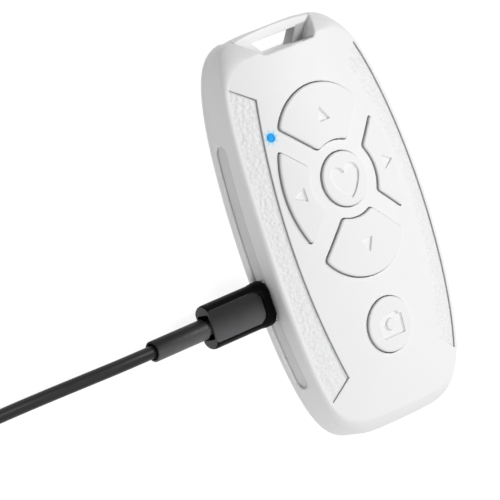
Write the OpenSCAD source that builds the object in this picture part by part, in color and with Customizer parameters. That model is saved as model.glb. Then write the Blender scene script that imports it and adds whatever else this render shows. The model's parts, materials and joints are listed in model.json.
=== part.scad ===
// Bluetooth camera shutter remote, lying on its back with its charging lead plugged in.
// X is the width, and the charging port is on the -X side. Y is the length, and the lanyard
// slot is at the +Y end. Z is up, and the keys face up. The origin is under the middle of the body.

/* [Body] */
// Overall length
body_length = 90.4; // [86:0.2:96]
// Overall width
body_width = 46.4; // [45:0.2:50]
// Height at the middle of the crowned face
body_height = 15; // [14.6:0.1:16.5]
// Radius of the face's crown across the body
crown_across = 70; // [64:1:90]
// Radius of the face's crown along the body
crown_along = 236; // [210:1:300]
// Rounding of the top edge along the two long sides
edge_round = 1; // [0.6:0.1:1.4]
// Bevel that the top edge widens to at the lanyard end
lanyard_bevel = 4.6; // [3:0.1:5]
// Bevel that the top edge widens to at the plain end
plain_bevel = 2.9; // [2:0.1:4]
// Length over which the bevels widen, up to each end
bevel_run = 10.2; // [8:0.2:13]
// Rounding of the bottom edge
base_round = 1.9; // [1.2:0.1:2]
// Height of the joint between the two covers
split_height = 2.2; // [2:0.1:2.4]
// Side wall thickness
wall = 1.6; // [1.4:0.1:1.8]
// Thickness of the keyed face
face_wall = 1.8; // [1.6:0.1:2]
// Thickness of the floor
floor_wall = 1.4; // [1.2:0.1:1.5]
// Height of the locating lip on the bottom cover
lip_height = 1; // [0.6:0.1:1.4]
// Thickness of the locating lip
lip_wall = 0.9; // [0.7:0.1:1.2]
// Clearance between pieces that are assembled and stay put
fit_gap = 0.1; // [0.05:0.01:0.15]

/* [Keys] */
// Land between the up key and the lanyard slot
slot_land = 9.1; // [9:0.1:12]
// Land between the down key and the camera key
camera_land = 5.5; // [4:0.1:7]
// Height of the key tops above the face
key_rise = 0.7; // [0.5:0.1:1.3]
// Gap round a key in the face
key_gap = 0.2; // [0.15:0.01:0.25]
// How far a key travels
key_travel = 0.3; // [0.2:0.05:0.4]
// Diameter of the heart key in the middle of the pad
heart_key_d = 12.1; // [10:0.1:12.5]
// Diameter of the camera key
camera_key_d = 12.1; // [10:0.1:13]
// Distance of the camera key from the body's plain end
camera_key_end = 21; // [19.5:0.1:22]
// Inner radius of the up and down keys
tall_inner = 8.8; // [8.7:0.1:9.5]
// How much smaller the radius of their outer edge is than the left and right keys' reach
tall_bow_less = 2.5; // [1:0.1:3.2]
// Half of the gap between the up and down keys and a diagonal
tall_flank = 2.65; // [2.4:0.05:3]
// Inner radius of the left and right keys
side_inner = 9.3; // [8.8:0.1:9.6]
// Land between the left and right keys and the grip panels
side_land = 2.1; // [1.5:0.1:2.8]
// Radius of the left and right keys' outer edge
side_bow = 26; // [22:0.1:40]
// Half of the gap between the left and right keys and a diagonal
side_flank = 2; // [1.5:0.05:2.2]
// Size of the rounding of the keys' corners
key_corner = 0.9; // [0.6:0.1:1.2]
// How far a key's flange reaches past the key
flange_width = 0.7; // [0.5:0.05:0.8]
// Thickness of a key's flange
flange_thick = 0.8; // [0.6:0.05:0.9]
// Diameter of the post under a key
post_d = 3.4; // [2.8:0.1:4]

/* [Grip panels] */
// Distance from a grip panel's outer corners to the body's end
grip_end = 9.55; // [9:0.05:12]
// Distance from a grip panel's inner corners to the body's end
grip_inner_end = 13.55; // [12.5:0.05:16]
// Width of the land outside a grip panel
grip_land = 1.2; // [1.1:0.05:1.5]
// Width of a grip panel at its middle
grip_width = 4.4; // [3.6:0.1:4.5]
// Radius of a grip panel's bowed inner edge
grip_bow = 118.6; // [100:1:140]
// Depth of the recess that holds a grip panel
grip_recess = 0.9; // [0.7:0.05:1]
// Thickness of a grip panel
grip_thick = 0.45; // [0.3:0.05:0.5]

/* [Lanyard slot] */
// Depth of the slot, from the body's end to its inner wall
slot_depth = 5.3; // [4.9:0.1:6]
// Half the width of the slot at its inner wall
slot_half = 7.3; // [6:0.1:8]
// How far each side of the slot flares out
slot_flare = 4.2; // [3:0.1:5]
// Rounding of the slot's inner corners
slot_round = 1; // [0.5:0.1:1.5]
// Height of the lanyard bar's top
bar_top = 7; // [6.6:0.1:7.2]
// Thickness of the lanyard bar
bar_thick = 3.2; // [2.8:0.1:3.6]
// Width of the window between the bar and the body
window_depth = 3.1; // [2.6:0.1:3.4]
// Half the width of the window at the bar
window_half = 6.4; // [5:0.1:7]

/* [Charging port] */
// Distance of the port from the body's middle
port_y = -10.3; // [-12:0.1:-9]
// Height of the port's middle
port_z = 4.7; // [4.5:0.05:5]
// Width of the port's shell
port_width = 8.94; // [8.8:0.02:9]
// Height of the port's shell
port_height = 3.26; // [3.2:0.02:3.3]
// Length of the port's shell
port_length = 7.35; // [7:0.05:7.5]
// Wall of the port's shell
port_wall = 0.28; // [0.24:0.01:0.3]
// How far the port's mouth stays behind the body's side
port_setback = 1.1; // [0.8:0.05:1.3]
// Height of the long groove in the side
groove_height = 4.2; // [4:0.1:4.4]
// Depth of the long groove in the side
groove_depth = 0.7; // [0.4:0.05:0.8]
// Distance from the groove to the body's lanyard end
groove_end = 20.6; // [17:0.1:25]
// Distance from the groove to the body's plain end
groove_plain_end = 14.1; // [12:0.1:19]

/* [Board] */
// Thickness of the circuit board
board_thick = 1; // [0.8:0.1:1.1]
// Gap between the board and the covers
board_gap = 0.7; // [0.5:0.05:0.9]
// Width of a key switch
switch_width = 4.5; // [4:0.1:4.8]
// Height of a key switch's case
switch_height = 2.5; // [2.3:0.1:2.8]
// How far a switch's plunger stands out of its case
plunger_rise = 0.6; // [0.5:0.05:0.8]
// Diameter of a switch's plunger
plunger_d = 2.3; // [2:0.1:2.6]
// Width of the battery cell
cell_width = 20; // [16:0.5:21]
// Length of the battery cell
cell_length = 30; // [24:0.5:31]
// Gap between the battery cell and the board
cell_gap = 0.2; // [0.1:0.05:0.6]
// Distance of the two board screws at the plain end from the body's sides
screw_side = 8.7; // [8:0.1:9.5]
// Distance of the two board screws at the lanyard end from the body's sides
slot_screw_side = 14.7; // [13:0.1:16]
// Distance of the board screws from the body's ends
screw_end = 15.2; // [14.5:0.1:16]
// Diameter of a board screw's shank
screw_d = 1.9; // [1.6:0.1:2]

/* [Charging lead] */
// Width of the plug's moulded body
plug_width = 10.2; // [9.8:0.1:11]
// Thickness of the plug's moulded body
plug_thick = 5.8; // [5.4:0.1:6.4]
// Length of the plug's moulded body
plug_length = 17; // [15:0.5:20]
// Gap between the plug's nose and the body's side when it is pushed home
nose_gap = 0.2; // [0.1:0.05:0.5]
// Length of the plug's metal shell
tongue_length = 6.65; // [6.2:0.05:6.8]
// Diameter of the strain relief sleeve
relief_d = 4.6; // [4.2:0.1:5]
// Length of the strain relief sleeve
relief_length = 15.2; // [12:0.1:18]
// Diameter of the cord
cord_d = 2.9; // [2.8:0.05:3]

/* [Hidden] */

$fn = 64;
half_length = body_length / 2;
half_width = body_width / 2;
// Overrun of a cut past the face that it opens
over = 1;
// Points round the body's outline, and the share of a turn between two of them
outline_sides = 80;
// Powers of the outline's curve, squarer at the corners than an ellipse
across_power = 5.6;
along_power = 2;
// How fast the end bevels widen, and how straight they are cut at the ends
bevel_growth = 1.3;
bevel_straight_share = 0.8;
// Turns of the top edge's profile, from the face to the wall
edge_turns = [90, 67.5, 45, 22.5, 0];
// Rings of the crowned face, as shares of the way out from its middle
face_ring_shares = [0.2, 0.42, 0.64, 0.84];

bevel_start = half_length - bevel_run;
slot_y = half_length - slot_depth;
groove_top = half_length - groove_end;
groove_bottom = groove_plain_end - half_length;
// The cavity stops short of the lanyard slot, and short of the bevel at the plain end
cavity_end = slot_y - wall;
cavity_start = plain_bevel - half_length;
// The port sits in a notch of the board, at the middle of its thickness
pcb_z = port_z - board_thick / 2;
pcb_top = pcb_z + board_thick;
screw_y = half_length - screw_end;
SCREWS = [for (s = [-1, 1]) each [[s * (half_width - screw_side), -screw_y],
  [s * (half_width - slot_screw_side), screw_y]]];
// Along the face: the camera key, a land, the pad of keys, another land and the slot
camera_key_y = camera_key_end - half_length;
pad_low = camera_key_y + camera_key_d / 2 + camera_land;
pad_high = slot_y - slot_land;
pad_y = (pad_low + pad_high) / 2;
tall_reach = (pad_high - pad_low) / 2;
// Across the face: the grip panels, a land and the pad of keys
grip_inner = half_width - grip_land - grip_width;
side_reach = grip_inner - side_land;
tall_bow = side_reach - tall_bow_less;
plunger_top = pcb_top + switch_height + plunger_rise;

// Height of the crowned face over a point
function face_z(x, y) = body_height - crown_along
  + sqrt(pow(crown_along - crown_across + sqrt(crown_across * crown_across - x * x), 2) - y * y);

function signed_power(v, p) = sign(v) * pow(abs(v), p);
function outline_point(a) = [half_width * signed_power(cos(a), 2 / across_power),
  half_length * signed_power(sin(a), 2 / along_power)];
OUTLINE = [for (i = [0:outline_sides - 1]) outline_point(360 * i / outline_sides)];
function inward(i) =
  let (d = OUTLINE[(i + 1) % outline_sides] - OUTLINE[(i + outline_sides - 1) % outline_sides])
  [-d.y, d.x] / norm(d);
function inset_point(i, inset) = OUTLINE[i] + inward(i) * inset;
function inset_ring(inset) = [for (i = [0:outline_sides - 1]) inset_point(i, inset)];
// The cavity's outline drawn in by a margin, with its two straight ends
function cavity_ring(margin) = [for (p = inset_ring(wall + margin))
  [p.x, max(cavity_start + margin, min(p.y, cavity_end - margin))]];
function at_height(ring, z) = [for (p = ring) [p.x, p.y, z]];
// Half the width of the body at a distance along it
function half_width_at(y) = half_width * pow(1 - pow(abs(y) / half_length, along_power), 1 / across_power);

// The top edge: a small round along the sides that widens into a bevel at the ends
function end_share(y) = pow(max(0, (abs(y) - bevel_start) / (half_length - bevel_start)), bevel_growth);
function edge_size(y) = edge_round + end_share(y) * ((y > 0 ? lanyard_bevel : plain_bevel) - edge_round);
function edge_share(a, straight) = [(1 - straight) * (1 - cos(a)) + straight * a / 90,
  (1 - straight) * (1 - sin(a)) + straight * (1 - a / 90)];
function edge_point(i, a) =
  let (y = OUTLINE[i].y, r = edge_size(y), s = edge_share(a, end_share(y) * bevel_straight_share),
    p = inset_point(i, r * s[0]), q = inset_point(i, r))
  [p.x, p.y, face_z(q.x, q.y) - r * s[1]];
function edge_ring(a) = [for (i = [0:outline_sides - 1]) edge_point(i, a)];
function face_ring(share) =
  [for (i = [0:outline_sides - 1])
    let (q = share * inset_point(i, edge_size(OUTLINE[i].y)))
    [q.x, q.y, face_z(q.x, q.y)]];

// A closed skin through rings of points, with a point in the middle of its first and last face
module loft(first, rings, last) {
  n = len(rings[0]);
  m = len(rings);
  points = concat([first], [for (ring = rings) each ring], [last]);
  start = [for (i = [0:n - 1]) [0, 1 + (i + 1) % n, 1 + i]];
  end = [for (i = [0:n - 1]) [1 + (m - 1) * n + i, 1 + (m - 1) * n + (i + 1) % n, 1 + m * n]];
  skin = [for (k = [0:m - 2]) for (i = [0:n - 1])
    let (a = 1 + k * n + i, b = 1 + k * n + (i + 1) % n)
    each [[a, b, b + n], [a, b + n, a + n]]];
  polyhedron(points, concat(start, skin, end));
}

// Everything under the crowned face moved up or down by an offset
crown_depth_share = 1.2;
crown_side_share = 0.55;
crown_turn = 27;
module under_crown(offset_z) {
  translate([0, 0, body_height + offset_z - crown_along])
    rotate([0, -90, 0])
      rotate([0, 0, -crown_turn / 2])
        rotate_extrude(angle = crown_turn, $fn = 720)
          intersection() {
            translate([crown_along - crown_across, 0]) circle(r = crown_across, $fn = 360);
            translate([crown_along - body_height * crown_depth_share, -body_width * crown_side_share])
              square([body_height * crown_depth_share + over, 2 * body_width * crown_side_share]);
          }
}

// A flat shape in Y and Z, drawn along X from a place
module along_x(x, length) {
  translate([x, 0, 0]) rotate([90, 0, 90]) linear_extrude(length) children();
}
module stadium(width, height) {
  square([width - height, height], center = true);
  for (s = [-1, 1]) translate([s * (width - height) / 2, 0]) circle(d = height);
}
module rounded_box(width, height, r) {
  square([width - 2 * r, height], center = true);
  square([width, height - 2 * r], center = true);
  for (s = [-1, 1], t = [-1, 1]) translate([s * (width / 2 - r), t * (height / 2 - r)]) circle(r = r);
}

// Outline of a direction key that points along +Y, seen from the pad's middle
arc_steps = 14;
corner_steps = 4;
function unit(a) = [cos(a), sin(a)];
function bend(a, c, b) = [for (k = [0:corner_steps])
  let (t = k / corner_steps) (1 - t) * (1 - t) * a + 2 * t * (1 - t) * c + t * t * b];
// Its outer corner, where the outer edge meets the flank beside the diagonal
function wedge_corner(bow, reach, flank) =
  let (k = (reach - bow) / sqrt(2), s = k + sqrt(bow * bow - pow(flank - k, 2)))
  [s - flank, s + flank] / sqrt(2);
function wedge_half(inner, bow, reach, flank) =
  let (c = reach - bow, s = sqrt(inner * inner - flank * flank), side = unit(45),
    low = [s - flank, s + flank] / sqrt(2), high = wedge_corner(bow, reach, flank),
    a_low = atan2(low.y, low.x) + key_corner / inner * 180 / PI,
    a_high = atan2(high.y - c, high.x) + key_corner / bow * 180 / PI)
  concat([for (k = [0:arc_steps - 1]) inner * unit(90 + (a_low - 90) * k / arc_steps)],
    bend(inner * unit(a_low), low, low + key_corner * side),
    bend(high - key_corner * side, high, [0, c] + bow * unit(a_high)),
    [for (k = [1:arc_steps]) [0, c] + bow * unit(a_high + (90 - a_high) * k / arc_steps)]);
function wedge(inner, bow, reach, flank) =
  let (h = wedge_half(inner, bow, reach, flank))
  concat(h, [for (k = [len(h) - 2:-1:1]) [-h[k].x, h[k].y]]);

// The keys by name: the turn of a direction key's outline, and where its switch is
tall_mid = (tall_inner + tall_reach) / 2;
side_mid = (side_inner + side_reach) / 2;
KEYS = [["up", 0, [0, pad_y + tall_mid]], ["down", 180, [0, pad_y - tall_mid]],
  ["left", 90, [-side_mid, pad_y]], ["right", -90, [side_mid, pad_y]],
  ["heart", 0, [0, pad_y]], ["camera", 0, [0, camera_key_y]]];
function key_of(name) = KEYS[search([name], KEYS)[0]];
function place_of(name) = key_of(name)[2];

module key_outline(name, grow) {
  if (name == "heart") translate([0, pad_y]) circle(d = heart_key_d + 2 * grow);
  else if (name == "camera") translate([0, camera_key_y]) circle(d = camera_key_d + 2 * grow);
  else if (name == "up" || name == "down")
    translate([0, pad_y]) rotate(key_of(name)[1])
      polygon(wedge(tall_inner - grow, tall_bow + grow, tall_reach + grow, tall_flank - grow));
  else
    translate([0, pad_y]) rotate(key_of(name)[1])
      polygon(wedge(side_inner - grow, side_bow + grow, side_reach + grow, side_flank - grow));
}
module key_column(name, grow) {
  translate([0, 0, pcb_top]) linear_extrude(body_height + 2 * key_rise - pcb_top) key_outline(name, grow);
}

// A key: a cap through the face, a flange that keeps it in, and a post that meets its switch
flange_top = -face_wall - fit_gap;
contact_gap = 0.02;
module key(name) {
  at = place_of(name);
  underside = face_z(at.x, at.y) + flange_top - flange_thick;
  color("whitesmoke") {
    difference() {
      union() {
        intersection() {
          key_column(name, 0);
          under_crown(key_rise);
        }
        intersection() {
          key_column(name, flange_width);
          under_crown(flange_top);
        }
      }
      under_crown(flange_top - flange_thick);
    }
    translate([at.x, at.y, plunger_top + contact_gap])
      cylinder(d = post_d, h = underside + flange_thick / 2 - plunger_top - contact_gap);
  }
}

// A key switch on the board: a case with a bore, four studs on its top and four legs
plunger_gap = 0.1;
bore_floor = 0.8;
stud_d = 0.7;
stud_rise = 0.15;
leg_width = 0.8;
leg_length = 0.9;
leg_thick = 0.2;
module key_switch(name) {
  at = place_of(name);
  color("dimgray") translate([at.x, at.y, pcb_top]) difference() {
    union() {
      translate([-switch_width / 2, -switch_width / 2, 0]) cube([switch_width, switch_width, switch_height]);
      for (s = [-1, 1], t = [-1, 1]) {
        translate([s * (switch_width / 2 - stud_d), t * (switch_width / 2 - stud_d), switch_height])
          cylinder(d = stud_d, h = stud_rise);
        translate([s * switch_width / 2 - leg_length, t * switch_width / 3 - leg_width / 2, 0])
          cube([2 * leg_length, leg_width, leg_thick]);
      }
    }
    translate([0, 0, bore_floor]) cylinder(d = plunger_d + 2 * plunger_gap, h = switch_height);
  }
}
module plunger(name) {
  at = place_of(name);
  low = pcb_top + bore_floor + key_travel + fit_gap;
  color("black") translate([at.x, at.y, low]) cylinder(d = plunger_d, h = plunger_top - low);
}

// Grip panels: strips that follow the crown along both long sides
grip_steps = 16;
// Outline of the right panel, drawn in by a margin
function grip_outline(margin) =
  let (outer = half_length - grip_end - margin, inner = half_length - grip_inner_end - margin)
  concat([for (k = [0:grip_steps])
      let (y = outer * (2 * k / grip_steps - 1)) [half_width_at(y) - grip_land - margin, y]],
    [for (k = [0:grip_steps])
      let (y = inner * (1 - 2 * k / grip_steps))
      [grip_inner + margin - grip_bow + sqrt(grip_bow * grip_bow - y * y), y]]);
module grip_column(margin, low, high) {
  translate([0, 0, low]) linear_extrude(high - low) polygon(grip_outline(margin));
}
module grip_cut() {
  difference() {
    grip_column(0, pcb_top, body_height + over);
    under_crown(-grip_recess);
  }
}
module grip_panel() {
  color("gainsboro") difference() {
    intersection() {
      grip_column(fit_gap, pcb_top, body_height);
      under_crown(grip_thick - grip_recess);
    }
    under_crown(contact_gap - grip_recess);
  }
}

// Lanyard slot: open above and below a bar, with a window through between bar and body
slot_end = half_length + over;
// Corners of a shape that flares towards the end of the body, with round inner corners
function flared(half, y0, y1, flare) =
  let (side = unit(atan2(y1 - y0, flare)), back = [half, y0])
  concat([for (p = bend(back - [slot_round, 0], back, back + slot_round * side)) p], [[half + flare, y1]]);
function mirrored(h) = concat(h, [for (k = [len(h) - 1:-1:0]) [-h[k].x, h[k].y]]);
slot_slope = slot_flare / (half_length - slot_y);
module slot_shape() {
  polygon(mirrored(flared(slot_half, slot_y, slot_end, slot_slope * (slot_end - slot_y))));
}
module window_shape() {
  narrow = window_half - slot_slope * window_depth;
  polygon([[-narrow, slot_y], [narrow, slot_y], [window_half, slot_y + window_depth],
    [-window_half, slot_y + window_depth]]);
}
module slot_cut() {
  translate([0, 0, bar_top]) linear_extrude(body_height) slot_shape();
  translate([0, 0, -over]) linear_extrude(over + bar_top - bar_thick) slot_shape();
  translate([0, 0, -over]) linear_extrude(body_height) window_shape();
}

// Side groove that follows the side at a constant depth, with round ends
module groove_cut() {
  difference() {
    along_x(-half_width - over, half_width)
      translate([(groove_top + groove_bottom) / 2, port_z])
        stadium(groove_top - groove_bottom, groove_height);
    linear_extrude(body_height) polygon(inset_ring(groove_depth));
  }
}
port_mouth = -half_width_at(port_y) + port_setback;
module port_cut() {
  along_x(-half_width - over, half_width + over + port_mouth + port_length / 2)
    translate([port_y, port_z]) stadium(port_width + 4 * fit_gap, port_height + 4 * fit_gap);
}

// Status light, past the left key's upper corner and outside the up key's flange
pipe_d = 1.8;
pipe_gap = 0.15;
led_past_corner = 3.5;
led_in_from_corner = 0.4;
left_corner = wedge_corner(side_bow, side_reach, side_flank);
led_y = pad_y + left_corner.x + led_past_corner;
up_key_half = sqrt(max(0, tall_bow * tall_bow - pow(led_y - pad_y - tall_reach + tall_bow, 2)));
led_x = -max(left_corner.y - led_in_from_corner, up_key_half + flange_width + pipe_gap + pipe_d / 2);

// Top cover: a crowned shell with a bevelled edge, open for the keys, the port, the light and the slot
module top_cover() {
  seam = split_height + fit_gap / 2;
  color("white") difference() {
    loft([0, 0, body_height],
      concat([for (s = face_ring_shares) face_ring(s)],
        [for (a = edge_turns) edge_ring(a)],
        [at_height(OUTLINE, seam)]),
      [0, 0, seam]);
    intersection() {
      linear_extrude(body_height) polygon(cavity_ring(0));
      under_crown(-face_wall);
    }
    for (k = KEYS) key_column(k[0], key_gap);
    grip_cut();
    mirror([1, 0, 0]) grip_cut();
    slot_cut();
    groove_cut();
    port_cut();
    translate([led_x, led_y, pcb_top]) cylinder(d = pipe_d + fit_gap, h = body_height);
  }
}

// Bottom cover: a rounded tray with a locating lip, screw bosses and ribs beside the cell
base_turns = [0, 30, 60, 90];
pad_thick = 0.3;
boss_wall = 1.4;
rib_height = 2;
rib_wall = 1;
cell_x = 2;
cell_y = -3;
module bottom_cover() {
  lip_outside = cavity_ring(fit_gap);
  lip_inside = cavity_ring(fit_gap + lip_wall);
  color("white") difference() {
    union() {
      loft([0, 0, floor_wall],
        concat([at_height(lip_inside, floor_wall),
            at_height(lip_inside, split_height + lip_height),
            at_height(lip_outside, split_height + lip_height),
            at_height(lip_outside, split_height),
            at_height(OUTLINE, split_height)],
          [for (a = base_turns) at_height(inset_ring(base_round * (1 - cos(a))), base_round * (1 - sin(a)))]),
        [0, 0, 0]);
      for (p = SCREWS) translate([p.x, p.y, floor_wall / 2])
        cylinder(d = screw_d + 2 * boss_wall, h = pcb_z - contact_gap - floor_wall / 2);
      for (s = [-1, 1])
        translate([cell_x + s * (cell_width / 2 + rib_wall), cell_y, (floor_wall + rib_height) / 2])
          cube([rib_wall, cell_length / 2, rib_height + floor_wall / 2], center = true);
    }
    for (p = SCREWS) translate([p.x, p.y, floor_wall])
      cylinder(d = screw_d + fit_gap, h = pcb_z);
    translate([0, 0, -over]) linear_extrude(body_height) slot_shape();
    translate([-half_width, port_y - port_width / 2 - lip_wall, split_height])
      cube([half_width / 2, port_width + 2 * lip_wall, lip_height + over]);
  }
}

// Circuit board, with a notch for the port and clearance holes for its screws
module circuit_board() {
  color("seagreen") difference() {
    translate([0, 0, pcb_z]) linear_extrude(board_thick) polygon(cavity_ring(board_gap));
    along_x(-half_width, half_width + port_mouth + port_length + fit_gap)
      translate([port_y, port_z]) square([port_width + 2 * fit_gap, board_thick + 2 * over], center = true);
    for (p = SCREWS) translate([p.x, p.y, pcb_z - over])
      cylinder(d = screw_d + 2 * fit_gap, h = board_thick + 2 * over);
  }
}
screw_head_d = 3.6;
screw_head_h = 1.1;
screw_tip_gap = 0.3;
module board_screws() {
  color("silver") for (p = SCREWS) translate([p.x, p.y, 0]) {
    translate([0, 0, pcb_top + contact_gap]) cylinder(d1 = screw_head_d, d2 = screw_d, h = screw_head_h);
    translate([0, 0, floor_wall + screw_tip_gap])
      cylinder(d = screw_d, h = pcb_top + screw_head_h / 2 - floor_wall - screw_tip_gap);
  }
}
// A small part soldered to the board's top
module chip(x, y, size) {
  translate([x - size.x / 2, y - size.y / 2, pcb_top]) cube(size);
}
chip_size = [5, 5, 0.9];
chip_at = [8.5, -15];
crystal_size = [3.2, 2.5, 0.8];
charger_size = [2.9, 1.6, 1.1];
charger_at = [-9, -17];
led_size = [1.6, 0.8, 0.6];
module bluetooth_chip() {
  color("black") chip(chip_at.x, chip_at.y, chip_size);
}
module radio_crystal() {
  color("silver") chip(chip_at.x, chip_at.y - chip_size.y / 2 - crystal_size.y, crystal_size);
}
module charging_chip() {
  color("black") chip(charger_at.x, charger_at.y, charger_size);
}
module status_led() {
  color("deepskyblue") chip(led_x, led_y, led_size);
}
// Light pipe: its foot stands on the board, round the light
pipe_foot_d = 3.4;
pipe_foot_h = 1.6;
pipe_pocket_d = 2.1;
pipe_pocket_h = 0.9;
module light_pipe() {
  z = pcb_top + contact_gap;
  color("azure") translate([led_x, led_y, z]) difference() {
    union() {
      cylinder(d = pipe_foot_d, h = pipe_foot_h);
      cylinder(d = pipe_d, h = face_z(led_x, led_y) - z);
    }
    translate([0, 0, -over]) cylinder(d = pipe_pocket_d, h = over + pipe_pocket_h);
  }
}

// Charging port: a drawn metal shell with two tabs on the board, round a tongue on a moulded base
port_back = 1.5;
tab_length = 2;
tab_width = 1.4;
tab_thick = 0.3;
tongue_width = 6.7;
tongue_thick = 0.7;
tongue_setback = 1.3;
module port_shell() {
  color("silver") {
    along_x(port_mouth, port_length) translate([port_y, port_z]) difference() {
      stadium(port_width, port_height);
      stadium(port_width - 2 * port_wall, port_height - 2 * port_wall);
    }
    for (s = [-1, 1])
      along_x(port_mouth + port_length - tab_length, tab_length)
        translate([port_y + s * (port_width + tab_width - port_wall) / 2, pcb_top + contact_gap + tab_thick / 2])
          square([tab_width, tab_thick], center = true);
  }
}
module port_tongue() {
  inner_w = port_width - 2 * port_wall - 2 * contact_gap;
  inner_h = port_height - 2 * port_wall - 2 * contact_gap;
  color("black") {
    along_x(port_mouth + port_length - port_back, port_back) translate([port_y, port_z])
      stadium(inner_w, inner_h);
    along_x(port_mouth + tongue_setback, port_length - tongue_setback - port_back / 2)
      translate([port_y, port_z]) square([tongue_width, tongue_thick], center = true);
  }
}

// Battery: a pouch cell on a foam pad, its guard board, and two leads up to the board's underside
cell_z = floor_wall + pad_thick + contact_gap;
cell_thick = pcb_z - cell_gap - cell_z;
cell_corner = 1;
cell_pad_share = 0.8;
guard_size = [14, 1.2, 1.8];
lead_d = 0.7;
lead_pitch = 2;
lead_run = 4;
lead_bend = 0.8;
guard_y = cell_y + cell_length / 2 + contact_gap;
module battery_cell() {
  color("silver") translate([cell_x, cell_y, cell_z]) linear_extrude(cell_thick)
    rounded_box(cell_width, cell_length, cell_corner);
}
module battery_pad() {
  color("dimgray") translate([cell_x, cell_y, floor_wall + contact_gap / 2]) linear_extrude(pad_thick)
    square([cell_width, cell_length] * cell_pad_share, center = true);
}
module battery_guard() {
  color("goldenrod") translate([cell_x - guard_size.x / 2, guard_y, cell_z + (cell_thick - guard_size.z) / 2])
    cube(guard_size);
}
module battery_leads() {
  z = cell_z + cell_thick / 2;
  start = guard_y + guard_size.y + contact_gap;
  color("firebrick") for (s = [-1, 1]) translate([cell_x + s * lead_pitch / 2, start, z]) {
    rotate([-90, 0, 0]) cylinder(d = lead_d, h = lead_run);
    translate([0, lead_run, lead_bend]) rotate([0, 90, 0]) rotate_extrude(angle = 90)
      translate([lead_bend, 0]) circle(d = lead_d);
    translate([0, lead_run + lead_bend, lead_bend])
      cylinder(d = lead_d, h = pcb_z - contact_gap - z - lead_bend);
  }
}

// Plug: a metal shell with its core, a flared moulded body and a strain relief sleeve
nose_x = -half_width_at(port_y) - nose_gap;
plug_back = nose_x - plug_length;
relief_back = plug_back - relief_length;
shell_width = 8.25;
shell_height = 2.4;
shell_wall = 0.26;
core_gap = 0.3;
module plug_shell() {
  color("silver") along_x(nose_x, tongue_length) translate([port_y, port_z]) difference() {
    stadium(shell_width, shell_height);
    stadium(shell_width - 2 * shell_wall, shell_height - 2 * shell_wall);
  }
}
module plug_core() {
  inset = 2 * shell_wall + 2 * contact_gap;
  color("black") along_x(nose_x + contact_gap, port_mouth + tongue_setback - core_gap - nose_x - contact_gap)
    translate([port_y, port_z]) stadium(shell_width - inset, shell_height - inset);
}
plug_sides = 32;
// Place along the moulded body, width and thickness, as shares of its sizes
plug_shares = [[0, 0.93, 0.88], [0.02, 0.99, 0.98], [0.04, 1, 1], [0.12, 1, 1], [0.2, 0.965, 0.95],
  [0.96, 0.965, 0.95], [0.985, 0.95, 0.93], [1, 0.92, 0.88]];
function plug_ring(share) =
  let (w = plug_width * share[1], h = plug_thick * share[2])
  [for (i = [0:plug_sides - 1])
    let (a = 360 * (i + 0.5) / plug_sides, side = sign(cos(a)) * (w - h) / 2 + h / 2 * cos(a))
    [nose_x - plug_length * share[0], port_y - side, port_z + h / 2 * sin(a)]];
// Its two flat sides are cut down behind a front with round corners, right out to the sides and the back
panel_front = 2.3;
panel_half_share = 0.4;
panel_round = 2.2;
panel_depth = 0.4;
panel_thick_share = 0.95;
module plug_panel_shape() {
  front = nose_x - panel_front;
  panel_half = plug_width * panel_half_share;
  translate([plug_back - over, port_y - panel_half])
    square([front - panel_round - plug_back + over, 2 * panel_half]);
  translate([plug_back - over, port_y - panel_half + panel_round])
    square([front - plug_back + over, 2 * (panel_half - panel_round)]);
  for (s = [-1, 1]) translate([front - panel_round, port_y + s * (panel_half - panel_round)])
    circle(r = panel_round);
}
// The sleeve ends just behind it, and a thinner neck goes on through a pocket in its back into a round seat.
// The cord passes through a ring-shaped recess in the sleeve's other end
pocket_width = 5.5;
pocket_height = 3.8;
pocket_round = 0.5;
pocket_depth = 1.5;
sleeve_gap = 0.6;
seat_depth = 0.8;
neck_d = 3.2;
ring_width = 0.3;
ring_depth = 1;
module plug_body() {
  panel_floor = plug_thick * panel_thick_share / 2 - panel_depth;
  color("#1c1c1e") difference() {
    loft([nose_x, port_y, port_z], [for (s = plug_shares) plug_ring(s)], [plug_back, port_y, port_z]);
    translate([0, 0, port_z + panel_floor]) linear_extrude(plug_thick) plug_panel_shape();
    translate([0, 0, port_z - panel_floor - plug_thick]) linear_extrude(plug_thick) plug_panel_shape();
    along_x(plug_back - over, over + pocket_depth) translate([port_y, port_z])
      rounded_box(pocket_width, pocket_height, pocket_round);
    along_x(plug_back, pocket_depth + seat_depth) translate([port_y, port_z])
      circle(d = neck_d + 2 * contact_gap);
  }
}
module plug_relief() {
  color("#2a2a2c") difference() {
    union() {
      along_x(relief_back, relief_length - sleeve_gap) translate([port_y, port_z])
        circle(d = relief_d);
      along_x(relief_back + relief_length / 2, relief_length / 2 + pocket_depth + seat_depth - contact_gap)
        translate([port_y, port_z]) circle(d = neck_d);
    }
    along_x(relief_back - over, over + ring_depth) translate([port_y, port_z])
      circle(d = cord_d + 2 * ring_width);
  }
}

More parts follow.
